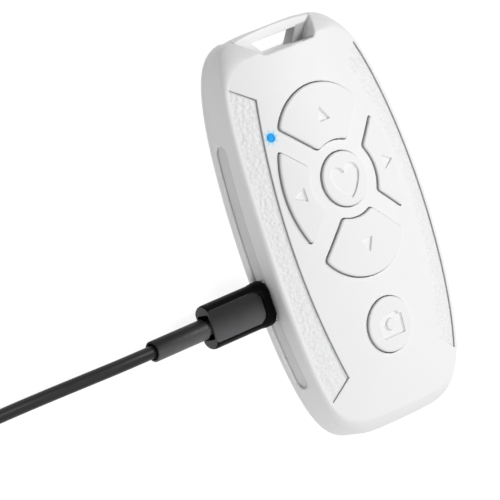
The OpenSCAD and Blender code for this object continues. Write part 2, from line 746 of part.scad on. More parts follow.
// Cord: a short lead to a coil of two layers, and a tail to the far plug, all swept tubes
cord_sides = 6;
lead_sides = 8;
lead_route = [[-54.4, -10.3, 4.7], [-58, -10.3, 4.7], [-62, -10.3, 4.6], [-66, -10.3, 4.3], [-70, -10.3, 3.8],
  [-75, -10.3, 3.1], [-80, -10.3, 2.4], [-85, -10.3, 1.9], [-90, -10.3, 1.6], [-95, -10.3, 1.5],
  [-100, -10.3, 1.5], [-105, -10.3, 1.6], [-110, -10.3, 1.8], [-115.1, -10.3, 2]];
tail_route = [[-136.6, 11.2, 5.4], [-136.6, 14, 5.3], [-136.6, 17, 4.9], [-136.6, 20, 4.3],
  [-136.6, 23, 3.9], [-136.6, 27, 3.8]];
coil_middle = [-118, 8.3];
coil_outer = 18.6;
coil_pitch = 3.4;
coil_rise = 3.4;
coil_z = 2;
coil_turns = 4.25;
loop_steps = 24;
// A coil point: it spirals in on the lower layer, climbs over half a turn, and spirals out above
coil_reverse = coil_turns / 2;
function coil_radius(turn) = coil_outer - coil_pitch * (coil_reverse - abs(turn - coil_reverse));
function smooth(t) = let (u = min(1, max(0, t))) u * u * (3 - 2 * u);
function coil_point(turn) =
  let (r = coil_radius(turn), a = -90 - 360 * turn, rise = smooth(2 * (turn - coil_reverse) + 0.5))
  [coil_middle.x + r * cos(a), coil_middle.y + r * sin(a), coil_z + coil_rise * rise];
coil_count = round(coil_turns * loop_steps);
// The coil's two ends run straight for one diameter of the cord
coil_route = concat([coil_point(0) + [cord_d, 0, 0]],
  [for (k = [0:coil_count]) coil_point(coil_turns * k / coil_count)],
  [coil_point(coil_turns) + [0, cord_d, 0]]);
coil_self_gap = min([for (i = [0:len(coil_route) - 1]) for (j = [i + loop_steps / 3:1:len(coil_route) - 1])
  norm(coil_route[i] - coil_route[j])]) - cord_d;
echo("least gap between the coil's turns, mm", coil_self_gap);

function direction(route, k) =
  let (d = route[min(k + 1, len(route) - 1)] - route[max(k - 1, 0)]) d / norm(d);
function tube_ring(c, t, d, sides) =
  let (u = cross(t, [0, 0, 1]) / norm(cross(t, [0, 0, 1])), v = cross(u, t))
  [for (i = [0:sides - 1]) c + d / 2 * (cos(360 * i / sides) * u + sin(360 * i / sides) * v)];
// The first and last ring stand square to a given direction, so that two tubes meet face to face
module tube(route, d, sides, first, last) {
  n = len(route) - 1;
  loft(route[0],
    [for (k = [0:n]) tube_ring(route[k], k == 0 ? first : k == n ? last : direction(route, k), d, sides)],
    route[n]);
}
module cord_lead() {
  color("#1c1c1e") tube(lead_route, cord_d, lead_sides, [-1, 0, 0], [-1, 0, 0]);
}
module cord_coil() {
  color("#1c1c1e") tube(coil_route, cord_d, cord_sides, [-1, 0, 0], [0, 1, 0]);
}
module cord_tail() {
  color("#1c1c1e") tube(tail_route, cord_d, lead_sides, [0, 1, 0], [0, 1, 0]);
}
// Flat band round the coil's turns, on the side away from the remote
tie_width = 4;
tie_wall = 0.45;
tie_gap = 0.1;
tie_angle = 90;
module cord_tie() {
  inner_r = coil_radius(coil_reverse) - cord_d / 2;
  outer_r = coil_outer + cord_d / 2;
  width = outer_r - inner_r + 2 * tie_gap;
  height = coil_rise + cord_d + 2 * tie_gap;
  color("#1c1c1e") translate([coil_middle.x, coil_middle.y, coil_z + coil_rise / 2])
    rotate([0, 0, tie_angle]) translate([(inner_r + outer_r) / 2, tie_width / 2, 0]) rotate([90, 0, 0])
      linear_extrude(tie_width) difference() {
        rounded_box(width + 2 * tie_wall, height + 2 * tie_wall, cord_d / 2);
        rounded_box(width, height, cord_d / 2 - tie_wall);
      }
}

// Far plug, lying flat beside the coil
far_x = coil_middle.x - coil_outer;
far_y = 26;
far_z = 3.8;
far_relief_length = 8;
far_relief_d = 5;
far_relief_tip_d = 4.2;
far_body_width = 15.6;
far_body_thick = 7.4;
far_body_length = 20;
far_body_round = 2;
far_shell_width = 12;
far_shell_thick = 4.5;
far_shell_length = 12;
far_shell_wall = 0.3;
far_core_thick = 1.9;
// Square holes in the shell that a socket's springs catch in
latch_hole = 2.2;
latch_side = 2.7;
latch_from_mouth = 5.4;
module along_y(y, length) {
  translate([far_x, y, far_z]) rotate([-90, 0, 0]) linear_extrude(length) children();
}
module far_relief() {
  color("#2a2a2c") difference() {
    translate([far_x, far_y, far_z]) rotate([-90, 0, 0])
      cylinder(d1 = far_relief_tip_d, d2 = far_relief_d, h = far_relief_length);
    translate([far_x, far_y - over, far_z]) rotate([-90, 0, 0])
      cylinder(d = cord_d + 2 * ring_width, h = over + ring_depth);
  }
}
module far_body() {
  color("#1c1c1e") along_y(far_y + far_relief_length + contact_gap, far_body_length)
    rounded_box(far_body_width, far_body_thick, far_body_round);
}
far_shell_y = far_y + far_relief_length + far_body_length + 2 * contact_gap;
module far_shell() {
  color("silver") difference() {
    along_y(far_shell_y, far_shell_length) difference() {
      square([far_shell_width, far_shell_thick], center = true);
      square([far_shell_width - 2 * far_shell_wall, far_shell_thick - 2 * far_shell_wall], center = true);
    }
    far_latch_holes();
  }
}
module far_latch_holes() {
  y = far_shell_y + far_shell_length - latch_from_mouth;
  for (s = [-1, 1]) translate([far_x + s * latch_side, y, far_z])
    cube([latch_hole, latch_hole, far_shell_thick + over], center = true);
}
module far_core() {
  color("white") along_y(far_shell_y, far_shell_length - far_shell_wall)
    translate([0, (far_shell_thick - far_core_thick) / 2 - far_shell_wall - contact_gap])
      square([far_shell_width - 2 * far_shell_wall - 2 * contact_gap, far_core_thick], center = true);
}

bottom_cover();
top_cover();
mirror([1, 0, 0]) grip_panel();  // left_grip_panel
grip_panel();  // right_grip_panel
light_pipe();
status_led();
circuit_board();
board_screws();
bluetooth_chip();
radio_crystal();
charging_chip();
port_shell();
port_tongue();
battery_cell();
battery_pad();
battery_guard();
battery_leads();
key_switch("up");  // up_switch
key_switch("down");  // down_switch
key_switch("left");  // left_switch
key_switch("right");  // right_switch
key_switch("heart");  // heart_switch
key_switch("camera");  // camera_switch
plunger("up");  // up_plunger
plunger("down");  // down_plunger
plunger("left");  // left_plunger
plunger("right");  // right_plunger
plunger("heart");  // heart_plunger
plunger("camera");  // camera_plunger
key("up");  // up_key
key("down");  // down_key
key("left");  // left_key
key("right");  // right_key
key("heart");  // heart_key
key("camera");  // camera_key
plug_shell();
plug_core();
plug_body();
plug_relief();
cord_lead();
cord_coil();
cord_tail();
cord_tie();
far_relief();
far_body();
far_shell();
far_core();
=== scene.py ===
# Looks of a handheld camera shutter remote and its charging lead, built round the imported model.
import json
import math

import bpy
import bmesh
import numpy as np
from mathutils import Matrix, Vector, noise
from mathutils.bvhtree import BVHTree


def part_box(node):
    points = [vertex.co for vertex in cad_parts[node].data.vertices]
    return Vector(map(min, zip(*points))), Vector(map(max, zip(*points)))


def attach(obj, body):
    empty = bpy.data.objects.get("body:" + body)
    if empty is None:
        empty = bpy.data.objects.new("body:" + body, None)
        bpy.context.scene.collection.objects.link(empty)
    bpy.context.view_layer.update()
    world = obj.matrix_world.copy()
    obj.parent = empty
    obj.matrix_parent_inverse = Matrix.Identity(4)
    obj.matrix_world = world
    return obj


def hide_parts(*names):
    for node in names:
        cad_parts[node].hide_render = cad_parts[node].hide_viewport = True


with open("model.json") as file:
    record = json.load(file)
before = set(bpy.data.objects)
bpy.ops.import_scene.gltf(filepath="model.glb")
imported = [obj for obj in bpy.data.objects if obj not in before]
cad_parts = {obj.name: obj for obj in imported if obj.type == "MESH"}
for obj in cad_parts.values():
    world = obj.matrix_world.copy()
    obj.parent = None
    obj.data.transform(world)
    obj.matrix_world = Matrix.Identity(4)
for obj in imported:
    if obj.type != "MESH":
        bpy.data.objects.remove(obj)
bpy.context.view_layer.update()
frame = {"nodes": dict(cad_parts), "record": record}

scene = bpy.context.scene
scene.view_settings.view_transform = "Standard"

# Every size below is in millimetres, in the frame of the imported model
MM = 0.001
cover_low, cover_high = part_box("top_cover")
HALF_WIDTH = cover_high.x / MM
HALF_LENGTH = -cover_low.y / MM

# The crowned body
BODY_HEIGHT = 15.0
CROWN_ACROSS = 70.0
CROWN_ALONG = 236.0
ACROSS_POWER = 5.6
EDGE_ROUND = 1.0
LANYARD_BEVEL = 4.6
PLAIN_BEVEL = 2.9
BEVEL_RUN = 10.2
BEVEL_GROWTH = 1.3
BEVEL_STRAIGHT = 0.8
BASE_ROUND = 1.9
SPLIT_HEIGHT = 2.2
WALL = 1.6
FACE_WALL = 1.8
FLOOR_WALL = 1.4
LIP_HEIGHT = 1.0
LIP_WALL = 0.9
FIT_GAP = 0.1
OUTLINE_POINTS = 360

# The keys
PAD_Y = 9.075
KEY_RISE = 0.699
KEY_GAP = 0.21
KEY_ROUND = 0.35
KEY_CORNER = 0.9
HEART_KEY_R = 6.05
CAMERA_KEY_R = 6.05
CAMERA_KEY_Y = -24.2
TALL = {"inner": 8.8, "bow": 13.0, "reach": 21.725, "flank": 2.65}
SIDE = {"inner": 9.3, "bow": 26.0, "reach": 15.5, "flank": 2.0}
FLANGE_WIDTH = 0.7
FLANGE_THICK = 0.8
POST_R = 1.7
PLUNGER_TOP = 8.32
RIM_ROUND = 0.15
SIGN_DEPTH = 0.48
LENS_X = 0.05

# Grip panels, lanyard slot, groove and light
GRIP_END = 9.55
GRIP_INNER_END = 13.55
GRIP_LAND = 1.2
GRIP_INNER = 17.6
GRIP_BOW = 118.6
GRIP_RECESS = 0.9
GRIP_THICK = 0.45
GRIP_RIM_ROUND = 0.12
GAP_FROM_X = 9.6
WALL_TILT = 0.6
SLOT_DEPTH = 5.3
SLOT_HALF = 7.3
SLOT_FLARE = 4.2
SLOT_ROUND = 1.0
SLOT_Y = HALF_LENGTH - SLOT_DEPTH
SLOPE = SLOT_FLARE / SLOT_DEPTH
BAR_TOP = 7.0
BAR_THICK = 3.2
WINDOW_DEPTH = 3.1
WINDOW_HALF = 6.4
WINDOW_RIM = 0.2
PORT_Y = -10.3
PORT_Z = 4.7
PORT_WIDTH = 9.34
PORT_HEIGHT = 3.66
GROOVE_HEIGHT = 4.2
GROOVE_DEPTH = 0.7
SLIT_WIDTH = 0.35
SLIT_DEPTH = 1.1
SLIT_TURNS = (60, 75)
SLIT_TAPER = 12
SLIT_TIP = 0.15
GROOVE_TOP = 24.6
GROOVE_BOTTOM = -31.1
GROOVE_MIDDLE = (GROOVE_TOP + GROOVE_BOTTOM) / 2
LIGHT_X = -13.645
LIGHT_Y = 23.045
PIPE_R = 0.9

# The charging lead
PLUG_WIDTH = 10.2
PLUG_THICK = 5.8
PLUG_LENGTH = 17.0
NOSE_X = -23.18
RELIEF_R = 2.3
RELIEF_LENGTH = 15.2
SLEEVE_GAP = 0.6
NECK_R = 1.6
SEAT_DEPTH = 0.8
CORD_D = 2.9
RING_WIDTH = 0.45
RING_DEPTH = 1.0
LEAD_ROUTE = [
    (-54.4, -10.3, 4.7), (-58, -10.3, 4.7), (-62, -10.3, 4.6), (-66, -10.3, 4.3), (-70, -10.3, 3.8),
    (-75, -10.3, 3.1), (-80, -10.3, 2.4), (-85, -10.3, 1.9), (-90, -10.3, 1.6), (-95, -10.3, 1.5),
    (-100, -10.3, 1.5), (-105, -10.3, 1.6), (-110, -10.3, 1.8), (-115.1, -10.3, 2)]
TAIL_ROUTE = [
    (-136.6, 11.2, 5.4), (-136.6, 14, 5.3), (-136.6, 17, 4.9), (-136.6, 20, 4.3), (-136.6, 23, 3.9),
    (-136.6, 27, 3.8)]
COIL_MIDDLE = (-118.0, 8.3)
COIL_OUTER = 18.6
COIL_PITCH = 3.4
COIL_RISE = 3.4
COIL_Z = 2.0
COIL_TURNS = 4.25
LOOP_STEPS = 24

# The camera, found from the outline and the keys in the photograph
CAMERA_PLACE = (-595.83, 108.82, 780.04)
CAMERA_RIGHT = (0.74152, -0.31590, 0.59191)
CAMERA_DOWN = (-0.31796, -0.94232, -0.10459)
CAMERA_FORWARD = (0.59080, -0.11064, -0.79919)
CAMERA_LENS = 325.27
SENSOR = 36.0


def add_camera():
    data = bpy.data.cameras.new("camera")
    data.lens = CAMERA_LENS
    data.sensor_width = SENSOR
    data.clip_start = 0.05
    data.clip_end = 20
    camera = bpy.data.objects.new("camera", data)
    turn = Matrix((CAMERA_RIGHT, [-c for c in CAMERA_DOWN], [-c for c in CAMERA_FORWARD])).transposed()
    camera.matrix_world = Matrix.Translation(Vector(CAMERA_PLACE) * MM) @ turn.to_4x4()
    scene.collection.objects.link(camera)
    scene.camera = camera


add_camera()


# Shapes in numbers: the crown, the outline and the top edge

def crown(x, y):
    across = np.sqrt(CROWN_ACROSS ** 2 - np.square(x))
    return BODY_HEIGHT - CROWN_ALONG + np.sqrt((CROWN_ALONG - CROWN_ACROSS + across) ** 2 - np.square(y))


def crown_normal(x, y):
    across = np.sqrt(CROWN_ACROSS ** 2 - np.square(x))
    along = CROWN_ALONG - CROWN_ACROSS + across
    n = np.stack([along * x / across, y, np.sqrt(along ** 2 - np.square(y))], axis=-1)
    return n / np.linalg.norm(n, axis=-1, keepdims=True)


def half_width_at(y):
    return HALF_WIDTH * np.power(np.clip(1 - np.square(np.abs(y) / HALF_LENGTH), 0, 1), 1 / ACROSS_POWER)


def evenly(ring, count):
    """The same closed outline with evenly spaced points."""
    closed = np.vstack([ring, ring[:1]])
    way = np.concatenate([[0], np.cumsum(np.linalg.norm(np.diff(closed, axis=0), axis=1))])
    at = np.arange(count) / count * way[-1]
    return np.stack([np.interp(at, way, column) for column in closed.T], axis=1)


def body_outline():
    """The body's outline, anticlockwise from +X."""
    a = np.linspace(0, 2 * math.pi, 40001)[:-1]
    x = HALF_WIDTH * np.sign(np.cos(a)) * np.abs(np.cos(a)) ** (2 / ACROSS_POWER)
    return np.stack([x, HALF_LENGTH * np.sin(a)], axis=1)


def outward(ring):
    """Unit normals of a closed anticlockwise outline, pointing away from it."""
    d = np.roll(ring, -1, axis=0) - np.roll(ring, 1, axis=0)
    n = np.stack([d[:, 1], -d[:, 0]], axis=1)
    return n / np.linalg.norm(n, axis=1, keepdims=True)


OUTLINE = evenly(body_outline(), OUTLINE_POINTS)
OUTWARD = outward(OUTLINE)


def end_share(y):
    start = HALF_LENGTH - BEVEL_RUN
    return np.power(np.clip((np.abs(y) - start) / BEVEL_RUN, 0, None), BEVEL_GROWTH)


def edge_size(y):
    return EDGE_ROUND + end_share(y) * (np.where(y > 0, LANYARD_BEVEL, PLAIN_BEVEL) - EDGE_ROUND)


def inset(amount):
    return OUTLINE - OUTWARD * np.reshape(amount, (-1, 1))


def edge_ring(turn):
    """Ring of the top edge: a turn of 90 is on the face, and 0 on the side wall."""
    y = OUTLINE[:, 1]
    size = edge_size(y)
    straight = end_share(y) * BEVEL_STRAIGHT
    a = math.radians(turn)
    s_in = (1 - straight) * (1 - math.cos(a)) + straight * turn / 90
    s_down = (1 - straight) * (1 - math.sin(a)) + straight * (1 - turn / 90)
    q = inset(size)
    return np.column_stack([inset(size * s_in), crown(q[:, 0], q[:, 1]) - size * s_down])


def at_height(ring, height):
    """A flat outline lifted to a height, which is a number or a function of x and y."""
    z = height(ring[:, 0], ring[:, 1]) if callable(height) else np.full(len(ring), float(height))
    return np.column_stack([ring, z])


def over_crown(offset):
    return lambda x, y: crown(x, y) + offset


def grown(ring, amount):
    return ring + outward(ring) * amount


def toward(ring, middle, share):
    return np.asarray(middle) + (ring - np.asarray(middle)) * share


def quarter(size, angles):
    """A rounded edge as pairs: how far in from the side, and how far down from the top."""
    turns = np.radians(angles)
    return list(zip(size * (1 - np.cos(turns)), size * (1 - np.sin(turns))))


def follow(outline, pairs, surface=crown):
    """Rings of an outline by how far it grows and how high it lies over a surface."""
    return [at_height(outline(grow), lambda x, y: surface(x, y) + rise) for grow, rise in pairs]


def upright(flat, x):
    """An outline in Y and Z, stood up at an X, which is a number or one for each point."""
    return np.column_stack([np.broadcast_to(x, len(flat)), flat])


def soft(t):
    """0 up to 0, 1 from 1 on, and a soft step between them."""
    u = np.clip(t, 0, 1)
    return u * u * (3 - 2 * u)


# Meshes through rings of points. Points nearer than the weld, in metres, become one, and a face is
# part of the crown where its points lie this near to it and its normal is this level with it
WELD = 1e-8
ON_CROWN = 0.003
LEVEL_WITH_CROWN = 0.99


def quads(*corners):
    """Faces from four arrays of point numbers."""
    return np.stack(corners, axis=-1).reshape(-1, 4).tolist()


def skin(name, rings, cap="fan"):
    """Closed mesh through rings with the same number of points. Its caps are fans, or ladders of quads."""
    points = [tuple(p) for ring in rings for p in ring]
    grid = np.arange(len(points)).reshape(len(rings), -1)
    after = np.roll(grid, -1, axis=1)
    faces = quads(grid[:-1], after[:-1], after[1:], grid[1:])
    for end in (0, -1):
        row, back, half = grid[end], grid[end][::-1], grid.shape[1] // 2
        if cap == "fan":
            points.append(tuple(np.mean(rings[end], axis=0)))
            faces += [(b, a, len(points) - 1) for a, b in zip(row.tolist(), after[end].tolist())]
        else:
            faces += quads(row[1:half], row[:half - 1], back[:half - 1], back[1:half])
    return mesh_object(name, points, faces)


def mesh_object(name, points, faces):
    mesh = bpy.data.meshes.new(name)
    mesh.from_pydata([tuple(c * MM for c in p) for p in points], [], faces)
    work = bmesh.new()
    work.from_mesh(mesh)
    bmesh.ops.remove_doubles(work, verts=work.verts, dist=WELD)
    bmesh.ops.recalc_face_normals(work, faces=work.faces)
    work.to_mesh(mesh)
    work.free()
    obj = bpy.data.objects.new(name, mesh)
    scene.collection.objects.link(obj)
    return obj


def combine(target, other, operation="DIFFERENCE"):
    """Cuts another solid out of a target, or adds it, and removes the other."""
    step = target.modifiers.new("combine", "BOOLEAN")
    step.operation = operation
    step.object = other
    step.solver = "MANIFOLD"
    bpy.context.view_layer.update()
    done = bpy.data.meshes.new_from_object(target.evaluated_get(bpy.context.evaluated_depsgraph_get()))
    target.modifiers.clear()
    old = target.data
    target.data = done
    bpy.data.meshes.remove(old)
    mesh = other.data
    bpy.data.objects.remove(other)
    bpy.data.meshes.remove(mesh)


def read(items, name, width=1, kind=float):
    """One property of a mesh's points, faces or corners, as an array."""
    values = np.zeros(len(items) * width, kind)
    items.foreach_get(name, values)
    return values.reshape(-1, width) if width > 1 else values


def shade(obj, rise=None, sharp=32):
    """Smooth shading, with the crown's own normals where a face lies at a given rise from the crown."""
    mesh = obj.data
    mesh.polygons.foreach_set("use_smooth", np.ones(len(mesh.polygons), bool))
    mesh.set_sharp_from_angle(angle=math.radians(sharp))
    if rise is None:
        return
    co = read(mesh.vertices, "co", 3) / MM
    flat = read(mesh.polygons, "normal", 3)
    corner = read(mesh.loops, "vertex_index", kind=int)
    counts = read(mesh.polygons, "loop_total", kind=int)
    face_of = np.repeat(np.arange(len(counts)), counts)
    x, y, z = co.T
    near = np.abs(z - crown(x, y) - rise) < ON_CROWN
    normal = crown_normal(x, y)
    whole = np.ones(len(counts), bool)
    np.logical_and.at(whole, face_of, near[corner])
    level = np.einsum("ij,ij->i", flat[face_of], normal[corner]) > LEVEL_WITH_CROWN
    custom = np.where((whole[face_of] & level)[:, None], normal[corner], 0.0)
    mesh.normals_split_custom_set([tuple(n) for n in custom])


# Profiles of a cut: how far each ring grows, and how deep it lies

def rim_profile(round_size, lift=0.12, last=70, steps=5):
    """The rounded rim of an opening, which leaves the surface just short of tangent and ends above it."""
    rings = [(out, -down) for out, down in quarter(round_size, np.linspace(0, last, steps + 1))]
    out, depth = rings[-1]
    out += (lift - depth) * math.tan(math.radians(last))
    return rings + [(out, lift), (out, lift + 1)]


def recess_profile(depth, floor_round, rim_round, steps=4):
    floor = quarter(floor_round, np.linspace(0, 90, steps + 1))
    return [(-down, out - depth) for out, down in floor] + rim_profile(rim_round)


# Outlines

def unit(angle):
    return np.array([math.cos(math.radians(angle)), math.sin(math.radians(angle))])


def bend(a, c, b, steps=8):
    t = np.linspace(0, 1, steps + 1)[:, None]
    return (1 - t) ** 2 * a + 2 * t * (1 - t) * c + t ** 2 * b


def arc(middle, radius, start, end, steps):
    angles = np.radians(np.linspace(start, end, steps + 1))
    return np.asarray(middle) + radius * np.stack([np.cos(angles), np.sin(angles)], axis=1)


def circle(middle, radius, count=48):
    return arc(middle, radius, 0, 360, count)[:-1]


def straight(a, b, steps):
    t = np.linspace(0, 1, steps + 1)[:, None]
    return (1 - t) * np.asarray(a) + t * np.asarray(b)


def rounded_rectangle(width, height, radius, steps=6):
    """Anticlockwise, as points across and up."""
    w, h = width / 2 - radius, height / 2 - radius
    return np.concatenate([arc(c, radius, a, a + 90, steps)
                           for c, a in (((w, h), 0), ((-w, h), 90), ((-w, -h), 180), ((w, -h), 270))])


def stadium(width, height, grow, steps=16):
    """Upper side from +Y to -Y, then the lower side back, as points in Y and Z."""
    r = height / 2 + grow
    half = (width - height) / 2
    flat = straight((half, r), (-half, r), 60)[1:-1]
    first = np.concatenate([arc((half, 0), r, 0, 90, steps), flat, arc((-half, 0), r, 90, 180, steps)])
    return np.concatenate([first, first[::-1] * (1, -1)])


# Outlines of the keys and their signs

def wedge(sizes, grow):
    """Outline of a direction key that points along +Y, seen from the pad's middle, anticlockwise."""
    inner, bow = sizes["inner"] - grow, sizes["bow"] + grow
    reach, flank = sizes["reach"] + grow, sizes["flank"] - grow
    c = reach - bow
    s = math.sqrt(inner * inner - flank * flank)
    low = np.array([s - flank, s + flank]) / math.sqrt(2)
    k = c / math.sqrt(2)
    s = k + math.sqrt(bow * bow - (flank - k) ** 2)
    high = np.array([s - flank, s + flank]) / math.sqrt(2)
    side = unit(45)
    at_low, at_high = low + KEY_CORNER * side, high - KEY_CORNER * side
    a_low = math.degrees(math.atan2(low[1], low[0]) + KEY_CORNER / inner)
    a_high = math.degrees(math.atan2(high[1] - c, high[0]) + KEY_CORNER / bow)
    half = np.concatenate([
        arc((0, 0), inner, 90, a_low, 16)[:-1],
        bend(inner * unit(a_low), low, at_low),
        straight(at_low, at_high, 12)[1:-1],
        bend(at_high, high, np.array([0, c]) + bow * unit(a_high)),
        arc((0, c), bow, a_high, 90, 24)[1:]])
    other = half[-2:0:-1] * (-1, 1)
    return np.concatenate([half, other])


def turned(ring, angle):
    c, s = math.cos(math.radians(angle)), math.sin(math.radians(angle))
    return ring @ np.array([[c, s], [-s, c]])


def wedge_key(sizes, angle):
    return lambda grow: turned(wedge(sizes, grow), angle) + (0, PAD_Y)


def round_key(radius, y):
    return lambda grow: circle((0, y), radius + grow, 96)


def rounded(corners, radius, steps=5):
    """A polygon with each corner rounded, anticlockwise."""
    corners = [np.asarray(c, float) for c in corners]
    points = []
    for before, corner, after in zip(corners[-1:] + corners[:-1], corners, corners[1:] + corners[:1]):
        a = corner + (before - corner) / np.linalg.norm(before - corner) * radius
        b = corner + (after - corner) / np.linalg.norm(after - corner) * radius
        points += list(bend(a, corner, b, steps))
    return np.array(points)


def dense(ring, step):
    """The same closed outline with no gap between points longer than a step."""
    points = []
    for a, b in zip(ring, np.roll(ring, -1, axis=0)):
        count = max(1, math.ceil(np.linalg.norm(b - a) / step))
        points += [a + (b - a) * k / count for k in range(count)]
    return np.array(points)


SIGN_CORNER = 0.25
SIGN_STEP = 0.4
CAMERA_SIGN_X = 0.25
CAMERA_SIGN = [(-3.15, -2.75), (3.15, -2.75), (3.15, 1.5), (2.35, 1.5), (1.95, 2.4), (-1.95, 2.4),
               (-2.35, 1.5), (-3.15, 1.5)]


def plain_sign(corners):
    return dense(rounded(corners, SIGN_CORNER), SIGN_STEP)


def arrow_sign(base, tip, half, angle):
    return turned(plain_sign([(-half, base), (half, base), (0, tip)]), angle) + (0, PAD_Y)


def camera_sign():
    """A camera's body with a low hump in the middle of its top."""
    return plain_sign(CAMERA_SIGN) + (CAMERA_SIGN_X, CAMERA_KEY_Y)


def heart_sign():
    """Two round lobes, and sides that run down to a point with a slight bow."""
    lobe, lobe_x, lobe_y, tip_y, bow = 2.05, 2.0, 0.9, -4.45, 0.45
    start = math.degrees(math.acos(-lobe_x / lobe))
    right = arc((lobe_x, lobe_y), lobe, start, -28, 26)
    tip = np.array([0, tip_y])
    chord = right[-1] - tip
    push = np.array([chord[1], -chord[0]]) / np.linalg.norm(chord)
    side = bend(right[-1], (right[-1] + tip) / 2 + push * 2 * bow, tip, 14)
    right = np.concatenate([right, side[1:]])
    left = right[-2:0:-1] * (-1, 1)
    return np.concatenate([right, left])[::-1] + (0, PAD_Y)


# The keys by name: outline, middle and sign
TALL_MID = (TALL["inner"] + TALL["reach"]) / 2
SIDE_MID = (SIDE["inner"] + SIDE["reach"]) / 2
KEYS = {
    "up": (wedge_key(TALL, 0), (0, PAD_Y + TALL_MID), arrow_sign(13.35, 16.55, 1.65, 0)),
    "down": (wedge_key(TALL, 180), (0, PAD_Y - TALL_MID), arrow_sign(13.65, 16.8, 1.65, 180)),
    "left": (wedge_key(SIDE, 90), (-SIDE_MID, PAD_Y), arrow_sign(11.05, 14.1, 1.6, 90)),
    "right": (wedge_key(SIDE, -90), (SIDE_MID, PAD_Y), arrow_sign(11.8, 15.0, 1.65, -90)),
    "heart": (round_key(HEART_KEY_R, PAD_Y), (0, PAD_Y), heart_sign()),
    "camera": (round_key(CAMERA_KEY_R, CAMERA_KEY_Y), (0, CAMERA_KEY_Y), camera_sign())}


# Nodes: each helper adds one node and returns its output
NOISE_LOW, NOISE_HIGH = 0.3, 0.7
MIX_SHARE, MIX_FIRST, MIX_SECOND, MIX_COLOUR = 0, 6, 7, 2


def feed(tree, node, values):
    """Gives sockets, by name or place, a value or a link from the output that makes it."""
    for key, value in values.items():
        if isinstance(value, bpy.types.NodeSocket):
            tree.links.new(value, node.inputs[key])
        else:
            node.inputs[key].default_value = value
    return node


def add_node(tree, kind, values, operation=None):
    node = tree.nodes.new("ShaderNode" + kind)
    if operation:
        node.operation = operation
    return feed(tree, node, values)


def math_node(tree, operation, *values):
    return add_node(tree, "Math", dict(enumerate(values)), operation).outputs[0]


def vector_node(tree, operation, values, result="Vector"):
    return add_node(tree, "VectorMath", values, operation).outputs[result]


def map_range(tree, value, start, end, low=0, high=1, smooth=False):
    """A value carried from one range to another, and held at its ends."""
    values = {"Value": value, "From Min": start, "From Max": end, "To Min": low, "To Max": high}
    node = add_node(tree, "MapRange", values)
    node.interpolation_type = "SMOOTHSTEP" if smooth else "LINEAR"
    return node.outputs["Result"]


def ramp(tree, value, start, end):
    """0 before one place and 1 past another, in mm, with a soft step between them."""
    return map_range(tree, value, start * MM, end * MM, smooth=True)


def product(tree, values):
    total = values[0]
    for value in values[1:]:
        total = math_node(tree, "MULTIPLY", total, value)
    return total


def place_in(tree):
    """The point in the piece's own space."""
    return tree.nodes["place"].outputs["Object"]


def part_of(tree, name, vector=None):
    """X, Y or Z of a vector, or of the point itself."""
    vector = place_in(tree) if vector is None else vector
    return add_node(tree, "SeparateXYZ", {0: vector}).outputs[name]


def noise_node(tree, size, detail=4.0, rough=0.55, place=None):
    """Noise whose features have a size in millimetres."""
    place = place_in(tree) if place is None else place
    values = {"Vector": place, "Scale": 1 / (size * MM), "Detail": detail, "Roughness": rough}
    return add_node(tree, "TexNoise", values).outputs["Fac"]


def spread(tree, value, low, high):
    """A noise value spread over a range."""
    return map_range(tree, value, NOISE_LOW, NOISE_HIGH, low, high)


def two_colours(tree, share, first, second):
    """A mix of two colours, each given by three numbers or by an output."""
    first, second = [(*c, 1) if isinstance(c, tuple) else c for c in (first, second)]
    node = add_node(tree, "Mix", {MIX_SHARE: share, MIX_FIRST: first, MIX_SECOND: second})
    node.data_type = "RGBA"
    return node.outputs[MIX_COLOUR]


def bump(tree, height, depth):
    """Bump whose full height is a depth in millimetres."""
    values = {"Height": height, "Distance": depth * MM, "Strength": 1.0}
    return add_node(tree, "Bump", values).outputs["Normal"]


def on_shader(tree, values):
    feed(tree, tree.nodes["Principled BSDF"], values)


def colour_so_far(tree):
    return tree.nodes["Principled BSDF"].inputs["Base Color"].links[0].from_socket


def scale_colour(tree, level):
    scaled = vector_node(tree, "SCALE", {0: colour_so_far(tree), "Scale": level})
    on_shader(tree, {"Base Color": scaled})


# Materials

def new_material(name):
    material = bpy.data.materials.new(name)
    material.use_nodes = True
    tree = material.node_tree
    add_node(tree, "TexCoord", {}).name = "place"
    return material, tree


def moulded(name, colour, roughness, tint=0.03, tint_size=9.0, grain=0.25, grain_depth=0.004,
            rough_swing=0.05, specular=0.5):
    """Moulded plastic: a faint drift of colour, uneven gloss and a very fine grain."""
    material, tree = new_material(name)
    darker = tuple(c * (1 - tint) for c in colour)
    drift, gloss = noise_node(tree, tint_size), noise_node(tree, tint_size / 3)
    on_shader(tree, {
        "Base Color": two_colours(tree, spread(tree, drift, 0, 1), darker, colour),
        "Roughness": spread(tree, gloss, roughness - rough_swing, roughness + rough_swing),
        "Specular IOR Level": specular,
        "Normal": bump(tree, noise_node(tree, grain, 3.0), grain_depth)})
    return material


# How much the painted shade darkens the notch's ledge and its flank
LEDGE_PAINTED_SHADE = 0.48
FLANK_PAINTED_SHADE = 0.12


